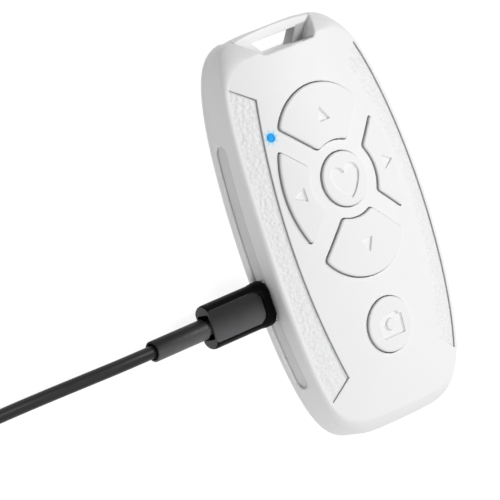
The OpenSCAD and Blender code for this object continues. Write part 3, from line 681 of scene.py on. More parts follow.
def notch_painted_shade(tree):
    """Level of the shell's colour: painted shade, darker with soft edges on the ledge and flank at the
    notch's right end, as in the photo.
    """
    along, height = part_of(tree, "Y"), part_of(tree, "Z")
    across = vector_node(tree, "DOT_PRODUCT", {0: place_in(tree), 1: (1, -SLOPE, 0)}, "Value")
    window_end = WINDOW_HALF - SLOPE * WINDOW_DEPTH - SLOPE * SLOT_Y
    window_top = SLOT_Y + WINDOW_DEPTH
    flank = SLOT_HALF - SLOPE * SLOT_Y
    bar_bottom = BAR_TOP - BAR_THICK
    inside = [ramp(tree, along, SLOT_Y - 0.3, SLOT_Y - 0.1), ramp(tree, height, bar_bottom, bar_bottom + 0.2)]
    ledge_shade_mask = product(tree, inside + [ramp(tree, across, window_end - 0.15, window_end),
                                    ramp(tree, across, flank - 0.1, flank - 0.3),
                                    ramp(tree, along, window_top + 0.5, window_top)])
    side = product(tree, inside + [ramp(tree, across, flank - 0.3, flank - 0.1),
                                   ramp(tree, across, flank + 0.35, flank + 0.15)])
    flank_shaded = math_node(tree, "MULTIPLY_ADD", side, -FLANK_PAINTED_SHADE, 1.0)
    return math_node(tree, "MULTIPLY_ADD", ledge_shade_mask, -LEDGE_PAINTED_SHADE, flank_shaded)


# Painted light: the status light's glow, a blue star painted into the shell's colour round the light pipe
GLOW_RADIUS = 2.4
GLOW_SHARE = 0.8
GLOW_COLOUR = (0.25, 0.72, 0.98)
STAR_RAYS = 8
STAR_WAIST = 0.62


def white_shell():
    """White moulded plastic, with the status light's glow painted into its colour as a small blue star, and
    painted shade at the notch's right end.
    """
    material = moulded("white_shell", (0.87, 0.87, 0.875), 0.5, tint=0.015, grain=0.3, grain_depth=0.003,
                       specular=0.35)
    tree = material.node_tree
    # Painted shade at the notch's right end
    scale_colour(tree, notch_painted_shade(tree))
    light = (LIGHT_X * MM, LIGHT_Y * MM, crown(LIGHT_X, LIGHT_Y) * MM)
    shift = vector_node(tree, "SUBTRACT", {0: place_in(tree), 1: light})
    angle = math_node(tree, "ARCTAN2", part_of(tree, "Y", shift), part_of(tree, "X", shift))
    wave = math_node(tree, "COSINE", math_node(tree, "MULTIPLY", angle, STAR_RAYS))
    reach = map_range(tree, wave, -1, 1, GLOW_RADIUS * STAR_WAIST * MM, GLOW_RADIUS * MM)
    away = vector_node(tree, "LENGTH", {0: shift}, "Value")
    share = map_range(tree, away, reach, PIPE_R * MM, 0, GLOW_SHARE, smooth=True)
    on_shader(tree, {"Base Color": two_colours(tree, share, colour_so_far(tree), GLOW_COLOUR)})
    return material


PEBBLE_SIZE = 0.85
PEBBLE_BUMP = 0.2
PEBBLE_GRAIN = 0.35
GRIP_DARK = (0.8, 0.8, 0.805)
GRIP_PALE = (0.9, 0.9, 0.905)


def grip_skin():
    """Pale soft-touch skin with sparse round pebbles over a very fine grain."""
    material, tree = new_material("grip_skin")
    cells = add_node(tree, "TexVoronoi", {"Vector": place_in(tree), "Scale": 1 / (PEBBLE_SIZE * MM)})
    cells.feature = "SMOOTH_F1"
    feed(tree, cells, {"Smoothness": 0.5})
    fine, patch = noise_node(tree, 0.25, 4.0, 0.6), noise_node(tree, 0.6, 3.0, 0.6)
    height = math_node(tree, "MULTIPLY_ADD", fine, PEBBLE_GRAIN, cells.outputs["Distance"])
    on_shader(tree, {
        "Base Color": two_colours(tree, spread(tree, patch, 0, 1), GRIP_DARK, GRIP_PALE),
        "Roughness": spread(tree, fine, 0.45, 0.6),
        "Normal": bump(tree, height, PEBBLE_BUMP)})
    return material


def lit(name, colour, strength):
    """Clear plastic lit from below, with a faint drift to a paler tone."""
    material, tree = new_material(name)
    drift = noise_node(tree, 0.7)
    paler = tuple(min(1.0, c * 1.25 + 0.02) for c in colour)
    tint = two_colours(tree, spread(tree, drift, 0, 1), colour, paler)
    on_shader(tree, {
        "Base Color": tint,
        "Emission Color": tint,
        "Emission Strength": strength,
        "Roughness": spread(tree, drift, 0.5, 0.65),
        "Specular IOR Level": 0.1,
        "Normal": bump(tree, noise_node(tree, 0.3), 0.004)})
    return material


def metal(name, colour, roughness, brush=(1, 14, 14)):
    """Plated metal with faint drawing marks."""
    material, tree = new_material(name)
    stretch = add_node(tree, "Mapping", {"Vector": place_in(tree), "Scale": brush})
    marks = noise_node(tree, 1.5, 3.0, 0.5, stretch.outputs["Vector"])
    dull = tuple(c * 0.9 for c in colour)
    on_shader(tree, {
        "Base Color": two_colours(tree, spread(tree, marks, 0, 1), dull, colour),
        "Metallic": 1.0,
        "Roughness": spread(tree, marks, roughness - 0.06, roughness + 0.08),
        "Normal": bump(tree, marks, 0.003)})
    return material


TRACK_SIZE = 3.2
TRACK_GAP = 0.09


def board_green():
    """Green solder mask with copper tracks showing faintly through it."""
    material, tree = new_material("board")
    tracks = add_node(tree, "TexBrick", {
        "Vector": place_in(tree), "Scale": 1 / (TRACK_SIZE * MM), "Mortar Size": TRACK_GAP,
        "Mortar": (0.03, 0.2, 0.08, 1), "Color1": (0.012, 0.105, 0.042, 1), "Color2": (0.012, 0.12, 0.05, 1)})
    on_shader(tree, {
        "Base Color": tracks.outputs["Color"],
        "Roughness": spread(tree, noise_node(tree, 2.0), 0.28, 0.42),
        "Normal": bump(tree, tracks.outputs["Fac"], 0.03)})
    return material


# The plug's flat sides and its sleeve: painted sheen, levels of a dull black between two places across the
# plug
PANEL_PAINTED_SHEEN = {"dark_y": 2.6, "pale_y": -4.8, "dark": 0.03, "pale": 2.1}
SLEEVE_PAINTED_SHEEN = {"dark_y": 1.9, "pale_y": -2.1, "dark": 0.1, "pale": 2.3}


def painted_sheen(name, dark_y, pale_y, dark, pale):
    """Dull black with a painted sheen, a painted reflection that grows from one Y to another."""
    material = moulded(name, (0.05, 0.05, 0.052), 0.42, tint=0.15, tint_size=3.0, grain=0.1,
                       grain_depth=0.006, specular=0.2)
    tree = material.node_tree
    start, end = (PORT_Y + dark_y) * MM, (PORT_Y + pale_y) * MM
    scale_colour(tree, map_range(tree, part_of(tree, "Y"), start, end, dark, pale, smooth=True))
    return material


# Moulded finishes, with two greys of painted shade among them: colour, roughness, and what differs from the
# usual
MOULDED = {
    "white_key": ((0.86, 0.86, 0.865), 0.5,
                  dict(tint=0.01, rough_swing=0.02, grain=0.35, grain_depth=0.002, specular=0.35)),
    # painted shade: a mid grey for the walls of key openings, grip recesses and keys
    "wall_painted_shade": ((0.5, 0.5, 0.505), 0.6, dict(grain=0.3, grain_depth=0.003, specular=0.2)),
    # painted shade: a light grey for the groove's floor
    "groove_painted_shade": ((0.77, 0.77, 0.78), 0.5, dict(grain=0.3, specular=0.3)),
    "chip": ((0.02, 0.02, 0.022), 0.5, dict(tint=0.2, tint_size=1.0, grain=0.08, grain_depth=0.01)),
    "gold_board": ((0.42, 0.26, 0.05), 0.35, dict(tint=0.25, tint_size=1.5)),
    "foam": ((0.03, 0.03, 0.03), 0.9, dict(tint=0.4, tint_size=0.5, grain=0.2, grain_depth=0.08)),
    "lead_insulation": ((0.45, 0.02, 0.02), 0.35, dict(tint=0.1, tint_size=1.5)),
    "switch_case": ((0.035, 0.035, 0.04), 0.45, dict(tint=0.2, tint_size=0.8, grain=0.1)),
    "plunger": ((0.015, 0.015, 0.015), 0.4, dict(tint=0.2, tint_size=0.6, grain=0.1)),
    "black_plug": ((0.002, 0.002, 0.0022), 0.35, dict(tint=0.25, tint_size=3.0, grain=0.12, specular=0.04)),
    "plug_end": ((0.085, 0.087, 0.087), 0.45, dict(tint=0.15, tint_size=2.5, grain=0.12, specular=0.2)),
    "black_cord": ((0.008, 0.008, 0.009), 0.4,
                   dict(tint=0.2, tint_size=4.0, grain=0.15, grain_depth=0.006, specular=0.25)),
    "connector_core": ((0.012, 0.012, 0.012), 0.45, dict(tint=0.2, tint_size=1.0)),
    "white_core": ((0.75, 0.75, 0.74), 0.4, dict(tint=0.05, tint_size=3.0))}
MATERIALS = {name: moulded(name, colour, rough, **look) for name, (colour, rough, look) in MOULDED.items()}
MATERIALS.update({
    "white_shell": white_shell(),
    "grip_skin": grip_skin(),
    "clear_plastic": lit("clear_plastic", (0.006, 0.23, 0.56), 0.4),
    "blue_light": lit("blue_light", (0.02, 0.3, 0.95), 2.0),
    "board": board_green(),
    "tinned_steel": metal("tinned_steel", (0.66, 0.66, 0.67), 0.24),
    "cell_pouch": metal("cell_pouch", (0.62, 0.63, 0.65), 0.38, (1, 1, 1)),
    "plug_panel": painted_sheen("plug_panel", **PANEL_PAINTED_SHEEN),
    "plug_sleeve": painted_sheen("plug_sleeve", **SLEEVE_PAINTED_SHEEN)})


def dress(obj, body, material, *replaces, slot=None):
    """Gives a new piece its material, its body and the CAD nodes that it stands for."""
    obj.data.materials.clear()
    obj.data.materials.append(MATERIALS[material])
    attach(obj, body)
    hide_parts(*replaces)
    return obj


def repaint(obj, material, test):
    """Faces that a test picks take another material."""
    obj.data.materials.append(MATERIALS[material])
    for face in obj.data.polygons:
        if test(face):
            face.material_index = len(obj.data.materials) - 1


# The cord: one line through the lead's route, the coil and the tail

def coil_point(turn):
    """The coil runs in from its outer turn and then, one layer up, out again."""
    reverse = COIL_TURNS / 2
    radius = COIL_OUTER - COIL_PITCH * (reverse - abs(turn - reverse))
    a = math.radians(-90 - 360 * turn)
    rise = COIL_RISE * soft(2 * (turn - reverse) + 0.5)
    return COIL_MIDDLE[0] + radius * math.cos(a), COIL_MIDDLE[1] + radius * math.sin(a), COIL_Z + rise


def cord_route():
    count = round(COIL_TURNS * LOOP_STEPS)
    coil = [coil_point(COIL_TURNS * k / count) for k in range(count + 1)]
    return LEAD_ROUTE + coil + TAIL_ROUTE


def add_cord():
    route = np.array(cord_route())
    curve = bpy.data.curves.new("cord", "CURVE")
    curve.dimensions = "3D"
    curve.bevel_depth = CORD_D / 2 * MM
    curve.bevel_resolution = 7
    curve.use_fill_caps = True
    curve.resolution_u = 5
    spline = curve.splines.new("BEZIER")
    spline.bezier_points.add(len(route) - 1)
    for k, point in enumerate(route):
        before, after = route[max(k - 1, 0)], route[min(k + 1, len(route) - 1)]
        way = (after - before) / np.linalg.norm(after - before)
        knot = spline.bezier_points[k]
        knot.co = Vector(point) * MM
        knot.handle_left = Vector(point - way * np.linalg.norm(point - before) / 3) * MM
        knot.handle_right = Vector(point + way * np.linalg.norm(after - point) / 3) * MM
    cord = bpy.data.objects.new("charging_cord", curve)
    scene.collection.objects.link(cord)
    return dress(cord, "charging_lead", "black_cord", "cord_lead", "cord_coil", "cord_tail"), route


cord, route = add_cord()


# Top cover. The notch's cutters end past the body, and where a ray down onto the cover misses it, the
# ray is moved back by steps and drawn in toward the middle line
NOTCH_END = HALF_LENGTH + 3
RAY_TOP = 0.05
RAY_BACK = 12
RAY_STEP = 0.1
RAY_DRAW = 60
GROOVE_FLOOR_ROUND = 0.25
GROOVE_RIM_ROUND = 0.14
PORT_RIM = [(0.1, 0), (0, 0.1), (-1, 0.12)]
WINDOW_CORNER = 0.3
SLOT_RIM_ROUND = 0.45
LIGHT_RIM_ROUND = 0.08


def cover_shell():
    """The crowned skin, closed at the joint with the bottom cover."""
    face = inset(edge_size(OUTLINE[:, 1]))
    shares = np.concatenate([[0.02, 0.06], np.linspace(0.12, 1, 23)])
    rings = [at_height(face * s, crown) for s in shares]
    rings += [edge_ring(turn) for turn in np.linspace(90, 0, 11)[1:]]
    return skin("top_cover_skin", rings + [at_height(OUTLINE, SPLIT_HEIGHT + FIT_GAP / 2)])


def cavity_ring(margin):
    ring = inset(WALL + margin)
    end = HALF_LENGTH - SLOT_DEPTH - WALL - margin
    start = PLAIN_BEVEL - HALF_LENGTH + margin
    return np.column_stack([ring[:, 0], np.clip(ring[:, 1], start, end)])


def cover_cavity():
    ring = cavity_ring(0)
    rings = [at_height(ring * s, over_crown(-FACE_WALL)) for s in (0.1, 0.25, 0.4, 0.55, 0.7, 0.85, 1)]
    return skin("cavity", rings + [at_height(ring, SPLIT_HEIGHT - 1)])


def opening(name, outline, surface, profile, bottom):
    """A cutter for an opening: straight up from a bottom height, then along a profile by the surface."""
    return skin(name, [at_height(outline(0), bottom)] + follow(outline, profile, surface))


def grip_outline(margin, side, steps=60):
    """Outline of a grip panel's recess, drawn in by a margin: the outer edge, then the inner one back."""
    outer, inner = HALF_LENGTH - GRIP_END - margin, HALF_LENGTH - GRIP_INNER_END - margin
    y = np.linspace(-outer, outer, steps + 1)
    first = np.stack([half_width_at(y) - GRIP_LAND - margin, y], axis=1)
    y = np.linspace(inner, -inner, steps + 1)
    second = np.stack([GRIP_INNER + margin - GRIP_BOW + np.sqrt(GRIP_BOW ** 2 - y ** 2), y], axis=1)
    ring = np.concatenate([first, second])
    return ring if side > 0 else (ring * (-1, 1))[::-1]


def grip_cutter(side):
    profile = [(0, -GRIP_RECESS)] + rim_profile(GRIP_RIM_ROUND)
    return skin("grip_cut", follow(lambda grow: grip_outline(-grow, side), profile), "ladder")


def groove_cutter():
    rings = []
    for grow, depth in recess_profile(GROOVE_DEPTH, GROOVE_FLOOR_ROUND, GROOVE_RIM_ROUND):
        flat = stadium(GROOVE_TOP - GROOVE_BOTTOM, GROOVE_HEIGHT, grow) + (GROOVE_MIDDLE, PORT_Z)
        rings.append(upright(flat, -half_width_at(flat[:, 0]) - depth))
    return skin("groove_cut", rings, "ladder")


def groove_slit():
    """A narrow slit in the groove's floor, right against its lower edge and part of its two round ends."""
    r, half = GROOVE_HEIGHT / 2, (GROOVE_TOP - GROOVE_BOTTOM - GROOVE_HEIGHT) / 2
    first, last = SLIT_TURNS
    angles = np.concatenate([np.linspace(-first, 0, 14), np.zeros(59), np.linspace(0, last, 18)])
    shifts = np.concatenate([np.full(13, half), np.linspace(half, -half, 61), np.full(17, -half)])
    a = np.radians(270 - angles)
    from_end = np.linspace(0, SLIT_TAPER, len(a))
    thick = SLIT_WIDTH * (SLIT_TIP + (1 - SLIT_TIP) * soft(np.minimum(from_end, from_end[::-1])))
    edge, inner = [np.stack([shifts + radius * np.cos(a), radius * np.sin(a)], axis=1)
                   for radius in (r, r - thick)]
    flat = np.concatenate([edge, inner[::-1]]) + (GROOVE_MIDDLE, PORT_Z)
    return skin("slit_cut", [upright(flat, depth - half_width_at(flat[:, 0]))
                             for depth in (SLIT_DEPTH, GROOVE_DEPTH - 0.2)], "ladder")


def port_cutter():
    floor = -half_width_at(PORT_Y) + GROOVE_DEPTH
    places = [(-HALF_WIDTH / 2, 0)] + [(floor + inward, grow) for inward, grow in PORT_RIM]
    return skin("port_cut", [upright(stadium(PORT_WIDTH, PORT_HEIGHT, grow) + (PORT_Y, PORT_Z), x)
                             for x, grow in places], "ladder")


def is_wall(face):
    return abs(face.normal.z) < WALL_TILT


def in_face_gap(face):
    """Walls in the face away from the middle line: grip recesses and the outer parts of key openings."""
    x, y, z = face.center / MM
    inside = abs(x) < half_width_at(y) - GRIP_LAND + 0.1 and abs(y) < HALF_LENGTH - GRIP_END + 0.3
    return is_wall(face) and inside and abs(x) > GAP_FROM_X and GRIP_RIM_ROUND < crown(x, y) - z < GRIP_RECESS


def paint_groove_shade(cover):
    """The groove's floor takes painted shade, a slightly darker grey."""
    x, y, z = read(cover.data.vertices, "co", 3).T / MM
    depth = x + half_width_at(y)
    inside = (depth > GROOVE_DEPTH - 0.25) & (depth < SLIT_DEPTH + 0.3)
    inside &= (y > GROOVE_BOTTOM) & (y < GROOVE_TOP) & (np.abs(z - PORT_Z) < GROOVE_HEIGHT / 2 + 0.01)
    repaint(cover, "groove_painted_shade", lambda face: all(inside[k] for k in face.vertices))


def slot_outline(grow):
    """The notch's flared outline, from its inner wall to past the body's end."""
    y0 = SLOT_Y - grow
    h = SLOT_HALF + grow * (math.sqrt(1 + SLOPE ** 2) - SLOPE)
    side = np.array([SLOPE, 1]) / math.hypot(SLOPE, 1)
    back = np.array([h, y0])
    right = np.concatenate([
        straight((0, y0), back - (SLOT_ROUND, 0), 14)[:-1],
        bend(back - (SLOT_ROUND, 0), back, back + SLOT_ROUND * side),
        straight(back + SLOT_ROUND * side, (h + SLOPE * (NOTCH_END - y0), NOTCH_END), 24)[1:]])
    return np.concatenate([right, right[:0:-1] * (-1, 1)])


def notch_below(low, high):
    """A cutter for the notch between two heights."""
    return skin("slot_below", [at_height(slot_outline(0), z) for z in (low, high)])


def window_cutter():
    """The window through the notch's floor, with a rounded rim."""
    far, narrow = SLOT_Y + WINDOW_DEPTH, WINDOW_HALF - SLOPE * WINDOW_DEPTH
    corners = [(-narrow, SLOT_Y), (narrow, SLOT_Y), (WINDOW_HALF, far), (-WINDOW_HALF, far)]
    window = rounded(corners, WINDOW_CORNER)
    rim = [(out, BAR_TOP - down) for out, down in quarter(WINDOW_RIM, np.linspace(0, 90, 5))]
    return skin("window_cut", [at_height(grown(window, out), z)
                               for out, z in [(0, 0), *rim, (WINDOW_RIM, BAR_TOP + 0.5)]])


def height_over(cover):
    """A function for the height of the uncut cover; past the body's end it is the height at its end."""
    tree = BVHTree.FromObject(cover, bpy.context.evaluated_depsgraph_get())
    down = Vector((0, 0, -1))

    def height(x, y):
        found = []
        for px, py in zip(x, y):
            for back in np.arange(0, RAY_BACK, RAY_STEP):
                start = Vector((px * MM * (1 - back / RAY_DRAW), (py - back) * MM, RAY_TOP))
                hit = tree.ray_cast(start, down)
                if hit[0] is not None:
                    break
            found.append(hit[0].z / MM)
        return np.array(found)
    return height


def add_top_cover():
    cover = cover_shell()
    uncut = height_over(cover)
    combine(cover, cover_cavity())
    for name, (outline, *_) in KEYS.items():
        reach = lambda grow, outline=outline: outline(grow + KEY_GAP)
        combine(cover, opening(name + "_cut", reach, crown, rim_profile(RIM_ROUND), PLUNGER_TOP))
    pipe = lambda grow: circle((LIGHT_X, LIGHT_Y), PIPE_R + FIT_GAP / 2 + grow)
    combine(cover, opening("light_cut", pipe, crown, rim_profile(LIGHT_RIM_ROUND), PLUNGER_TOP))
    combine(cover, grip_cutter(-1))
    combine(cover, grip_cutter(1))
    combine(cover, opening("slot_cut", slot_outline, uncut, rim_profile(SLOT_RIM_ROUND), BAR_TOP))
    combine(cover, notch_below(0, BAR_TOP - BAR_THICK))
    for cutter in (window_cutter, groove_cutter, groove_slit, port_cutter):
        combine(cover, cutter())
    cover.name = "top_cover_moulded"
    shade(cover, rise=0.0)
    dress(cover, "housing", "white_shell", "top_cover")
    # Painted shade on the groove's floor
    paint_groove_shade(cover)
    # Walls of grip recesses and of key openings away from the middle take painted shade, a mid grey
    repaint(cover, "wall_painted_shade", in_face_gap)


def add_bottom_cover():
    lip = SPLIT_HEIGHT + LIP_HEIGHT
    inner, outer = cavity_ring(FIT_GAP + LIP_WALL), cavity_ring(FIT_GAP)
    rings = [at_height(inner, FLOOR_WALL), at_height(inner, lip), at_height(outer, lip),
             at_height(outer, SPLIT_HEIGHT), at_height(OUTLINE, SPLIT_HEIGHT)]
    rings += [at_height(inset(out), down) for out, down in quarter(BASE_ROUND, np.linspace(0, 90, 10))]
    cover = skin("bottom_cover_moulded", rings)
    combine(cover, notch_below(-1, lip + 1))
    shade(cover)
    dress(cover, "housing", "white_shell", "bottom_cover")


add_top_cover()
add_bottom_cover()


# Keys
SIGN_FLOOR_ROUND = 0.08
SIGN_RIM_ROUND = 0.07
LENS_Y = CAMERA_KEY_Y - 0.05
LENS_RINGS = [(0.3, KEY_RISE), (0.7, KEY_RISE), (1.1, KEY_RISE), (1.22, KEY_RISE - 0.04),
              (1.28, KEY_RISE - 0.12), (1.3, KEY_RISE - SIGN_DEPTH - 0.1)]


def key_solid(name):
    outline, middle, sign = KEYS[name]
    top = outline(-KEY_ROUND)
    flange_top = -FACE_WALL - FIT_GAP
    flange_bottom = flange_top - FLANGE_THICK
    shares = (0.05, 0.15, 0.3, 0.45, 0.6, 0.75, 0.9, 1)
    rings = follow(lambda share: toward(top, middle, share), [(share, KEY_RISE) for share in shares])
    edge = [(-out, KEY_RISE - down) for out, down in quarter(KEY_ROUND, np.linspace(90, 0, 8)[1:])]
    flange = [(0, flange_top), (FLANGE_WIDTH, flange_top), (FLANGE_WIDTH, flange_bottom)]
    rings += follow(outline, edge + flange)
    spokes = outline(0) - np.asarray(middle)
    post = np.asarray(middle) + spokes / np.linalg.norm(spokes, axis=1, keepdims=True) * POST_R
    rings += [at_height(post, over_crown(flange_bottom)), at_height(post, PLUNGER_TOP)]
    return skin(name + "_key_moulded", rings)


def sign_cutter(ring, middle):
    """A cutter whose floor follows the key's top, with a rounded floor edge and rim."""
    floor = grown(ring, -SIGN_FLOOR_ROUND)
    rings = [at_height(toward(floor, middle, s), over_crown(KEY_RISE - SIGN_DEPTH)) for s in (0.2, 0.5, 0.8)]
    profile = recess_profile(SIGN_DEPTH, SIGN_FLOOR_ROUND, SIGN_RIM_ROUND)
    rings += follow(lambda grow: grown(ring, grow), [(grow, KEY_RISE + depth) for grow, depth in profile])
    return skin("sign_cut", rings)


def lens_island():
    """The round lens that stands in the middle of the camera sign."""
    return skin("lens", follow(lambda radius: circle((LENS_X, LENS_Y), radius), LENS_RINGS))


def in_key_gap(face):
    """The key's own walls, below the depth of its sign."""
    x, y, z = face.center / MM
    return is_wall(face) and crown(x, y) + KEY_RISE - z > SIGN_DEPTH + 0.1


def add_key(name):
    key = key_solid(name)
    sign = KEYS[name][2]
    combine(key, sign_cutter(sign, np.mean(sign, axis=0)))
    if name == "camera":
        combine(key, lens_island(), "UNION")
    shade(key, rise=KEY_RISE)
    dress(key, "key_" + name, "white_key", name + "_key")
    # The key's own walls take painted shade, a mid grey
    repaint(key, "wall_painted_shade", in_key_gap)


for name in KEYS:
    add_key(name)


# Grip panels: a fine grid over each strip, pebbled like leather, with the pebbles fading to its edges
GRIP_GRID = (420, 22)
GRIP_LIFT = 0.02
EDGE_RATE = 9
END_RATE = 12
EDGE_DROP = 0.05
PEBBLE_DEPTH = 0.045
PEBBLES_PER_MM = 1.4
PEBBLE_GAIN = 1.4
FOLDS_PER_MM = 0.9
FOLD_LAYER = 4.0


def pebbles(x, y):
    """Height of the skin's pebbles over a point, from 0 to 1: cells, and folds that come and go."""
    near = noise.voronoi(Vector((x * PEBBLES_PER_MM, y * PEBBLES_PER_MM, 0.0)))[0]
    fold = 0.5 + 0.5 * noise.noise(Vector((x * FOLDS_PER_MM, y * FOLDS_PER_MM, FOLD_LAYER)))
    return min(1.0, (near[1] - near[0]) * PEBBLE_GAIN) * fold


def add_grip(side):
    along, across = GRIP_GRID
    ring = grip_outline(FIT_GAP, 1, along)
    outer, inner = ring[:along + 1], ring[along + 1:][::-1]
    low, top = over_crown(GRIP_LIFT - GRIP_RECESS), over_crown(GRIP_THICK - GRIP_RECESS)
    points = []
    for k in range(along + 1):
        for s in np.linspace(0, 1, across + 1):
            x, y = outer[k] * (1 - s) + inner[k] * s
            edge = min(s, 1 - s, k / along * END_RATE, (1 - k / along) * END_RATE)
            fade = soft(edge * EDGE_RATE)
            drop = EDGE_DROP * (1 - fade) + PEBBLE_DEPTH * fade * (1 - pebbles(x, y))
            points.append((x * side, y, top(x, y) - drop))
    grid = np.arange(len(points)).reshape(along + 1, -1)
    faces = quads(grid[:-1, :-1], grid[:-1, 1:], grid[1:, 1:], grid[1:, :-1])
    rim = np.concatenate([grid[:, 0], grid[-1, 1:], grid[-2::-1, -1], grid[0, -2:0:-1]])
    base = len(points) + np.arange(len(rim))
    for index in rim:
        x, y, z = points[index]
        points.append((x, y, low(x, y)))
    faces += quads(rim, np.roll(rim, -1), np.roll(base, -1), base)
    back = base[2 * along + across:along + across - 1:-1]
    faces += quads(base[:along], base[1:along + 1], back[1:], back[:-1])
    name = "right" if side > 0 else "left"
    panel = mesh_object("grip_" + name, points, faces)
    shade(panel, sharp=50)
    dress(panel, "housing", "grip_skin", name + "_grip_panel")


add_grip(-1)
add_grip(1)


# Light pipe: a clear stem with a domed top flush in the face, and a wider foot with a bore
PIPE_DOME = [(0.2, 0), (0.5, 0.02), (0.75, 0.05), (0.87, 0.12), (PIPE_R, 0.22)]
PIPE_FOOT = [(PIPE_R, 1.6), (1.7, 1.6), (1.7, 0), (1.05, 0), (1.05, 0.9)]


def add_light_pipe():
    top, low = crown(LIGHT_X, LIGHT_Y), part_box("light_pipe")[0].z / MM
    profile = [(radius, top - drop) for radius, drop in PIPE_DOME]
    profile += [(radius, low + height) for radius, height in PIPE_FOOT]
    rings = [at_height(circle((LIGHT_X, LIGHT_Y), radius), z) for radius, z in profile]
    pipe = skin("light_pipe_clear", rings)
    shade(pipe)
    dress(pipe, "housing", "clear_plastic", "light_pipe")


add_light_pipe()


# Plug, sleeve and the pieces at the far end
PLUG_BACK = NOSE_X - PLUG_LENGTH
PLUG_SHARES = [(0, 0.93, 0.88), (0.02, 0.99, 0.98), (0.04, 1, 1), (0.12, 1, 1), (0.2, 0.965, 0.95),
               (0.96, 0.965, 0.95), (0.985, 0.95, 0.93), (1, 0.92, 0.88)]
PLUG_STATIONS = [(0, 0.05, 9), (0.05, 0.3, 34), (0.3, 0.95, 30), (0.95, 1, 7)]
PLUG_POINTS = 144
PANEL_FRONT = 2.3
PANEL_HALF = 4.3
PANEL_TAPER = 0.9
PANEL_TAPER_RUN = 12.0
PANEL_ROUND = 2.2
PANEL_Z = 2.355
PANEL_RAMP = 0.3
POCKET_WIDTH = 5.5
POCKET_HEIGHT = 3.8
POCKET_ROUND = 0.5
POCKET_DEPTH = 1.5
FAR_SLEEVE_TIP = 2.1
FAR_SLEEVE_ROOT = 2.5
FAR_CORNER = 2.0
FAR_FRONT = [(0, 1.0), (0.15, 0.55), (0.45, 0.22), (0.9, 0.05), (1.4, 0)]
FAR_BACK = [(1.0, 0), (0.45, 0.08), (0.15, 0.28), (0, 0.65)]
TIE_WALL = 0.45
TIE_EDGE = 0.12


def panel_share(x, y):
    """How far inside the plug's cut-down panel a point is, from 0 to 1. The panel is open at its back."""
    half = PANEL_HALF - PANEL_TAPER * (1 - soft((x - PANEL_FRONT) / PANEL_TAPER_RUN))
    dx = np.maximum(0, PANEL_ROUND - (x - PANEL_FRONT))
    dy = np.maximum(0, np.abs(y) - (half - PANEL_ROUND))
    return soft((PANEL_ROUND - np.hypot(dx, dy)) / PANEL_RAMP + 0.5)


def lead_piece(obj, node, sharp, material="black_plug"):
    shade(obj, sharp=sharp)
    return dress(obj, "charging_lead", material, node, slot="black_plug")


def bar_cutter(name, flat, start, end):
    """A straight cutter along X between two places."""
    return skin(name, [upright(flat + (PORT_Y, PORT_Z), x) for x in (start, end)])


def on_panel(face):
    return abs(abs(face.center.z / MM - PORT_Z) - PANEL_Z) < 0.02 and abs(face.normal.z) > 0.9


def on_back(face):
    return face.center.x / MM < PLUG_BACK + 0.3 and face.normal.x < -0.8


def add_plug():
    places, widths, thicks = np.array(PLUG_SHARES).T
    stations = np.concatenate([np.linspace(*run) for run in PLUG_STATIONS])
    rings = []
    for s in np.unique(np.round(stations, 5)):
        w, h = PLUG_WIDTH * np.interp(s, places, widths), PLUG_THICK * np.interp(s, places, thicks)
        y, z = evenly(stadium(w, h, 0), PLUG_POINTS).T
        x = s * PLUG_LENGTH
        cut = panel_share(x, y) * np.maximum(np.abs(z) - PANEL_Z, 0)
        flat = np.column_stack([y + PORT_Y, np.sign(z) * (np.abs(z) - cut) + PORT_Z])
        rings.append(upright(flat, NOSE_X - x))
    plug = skin("plug_moulded", rings)
    pocket = rounded_rectangle(POCKET_WIDTH, POCKET_HEIGHT, POCKET_ROUND)
    combine(plug, bar_cutter("pocket_cut", pocket, PLUG_BACK - 1, PLUG_BACK + POCKET_DEPTH))
    seat = circle((0, 0), NECK_R + 0.02)
    combine(plug, bar_cutter("seat_cut", seat, PLUG_BACK, PLUG_BACK + POCKET_DEPTH + SEAT_DEPTH))
    lead_piece(plug, "plug_body", 30)
    # The cut-down panels take the dull black with a painted sheen
    repaint(plug, "plug_panel", on_panel)
    repaint(plug, "plug_end", on_back)
    return plug


def turned_piece(name, profile, origin, axis, count=64):
    """A round piece from its profile of places along an axis and radii."""
    origin, axis = np.asarray(origin, float), np.asarray(axis, float)
    side = np.cross(axis, (0, 0, 1))
    up = np.cross(side, axis)
    ring = circle((0, 0), 1, count)
    spokes = ring[:, :1] * side + ring[:, 1:] * up
    return skin(name, [origin + axis * place + spokes * radius for place, radius in profile])


def sleeve_profile(length, tip, root, end_round=0.12, root_round=0.12):
    """From the cord's end: a ring-shaped recess round the cord, a rounded lip and the sleeve itself."""
    bore = CORD_D / 2 + RING_WIDTH
    lip = end_round / 3
    places = [(RING_DEPTH, CORD_D / 4), (RING_DEPTH, bore), (lip, bore), (0, bore + lip),
              (0, tip - end_round), (end_round * 0.3, tip - end_round * 0.3), (end_round, tip)]
    return places + [(length - down, root - out) for out, down in quarter(root_round, (0, 20, 40, 60, 80))]


def box_of(node):
    """Middle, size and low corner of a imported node, in millimetres."""
    low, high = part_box(node)
    return (low + high) / 2 / MM, (high - low) / MM, low / MM


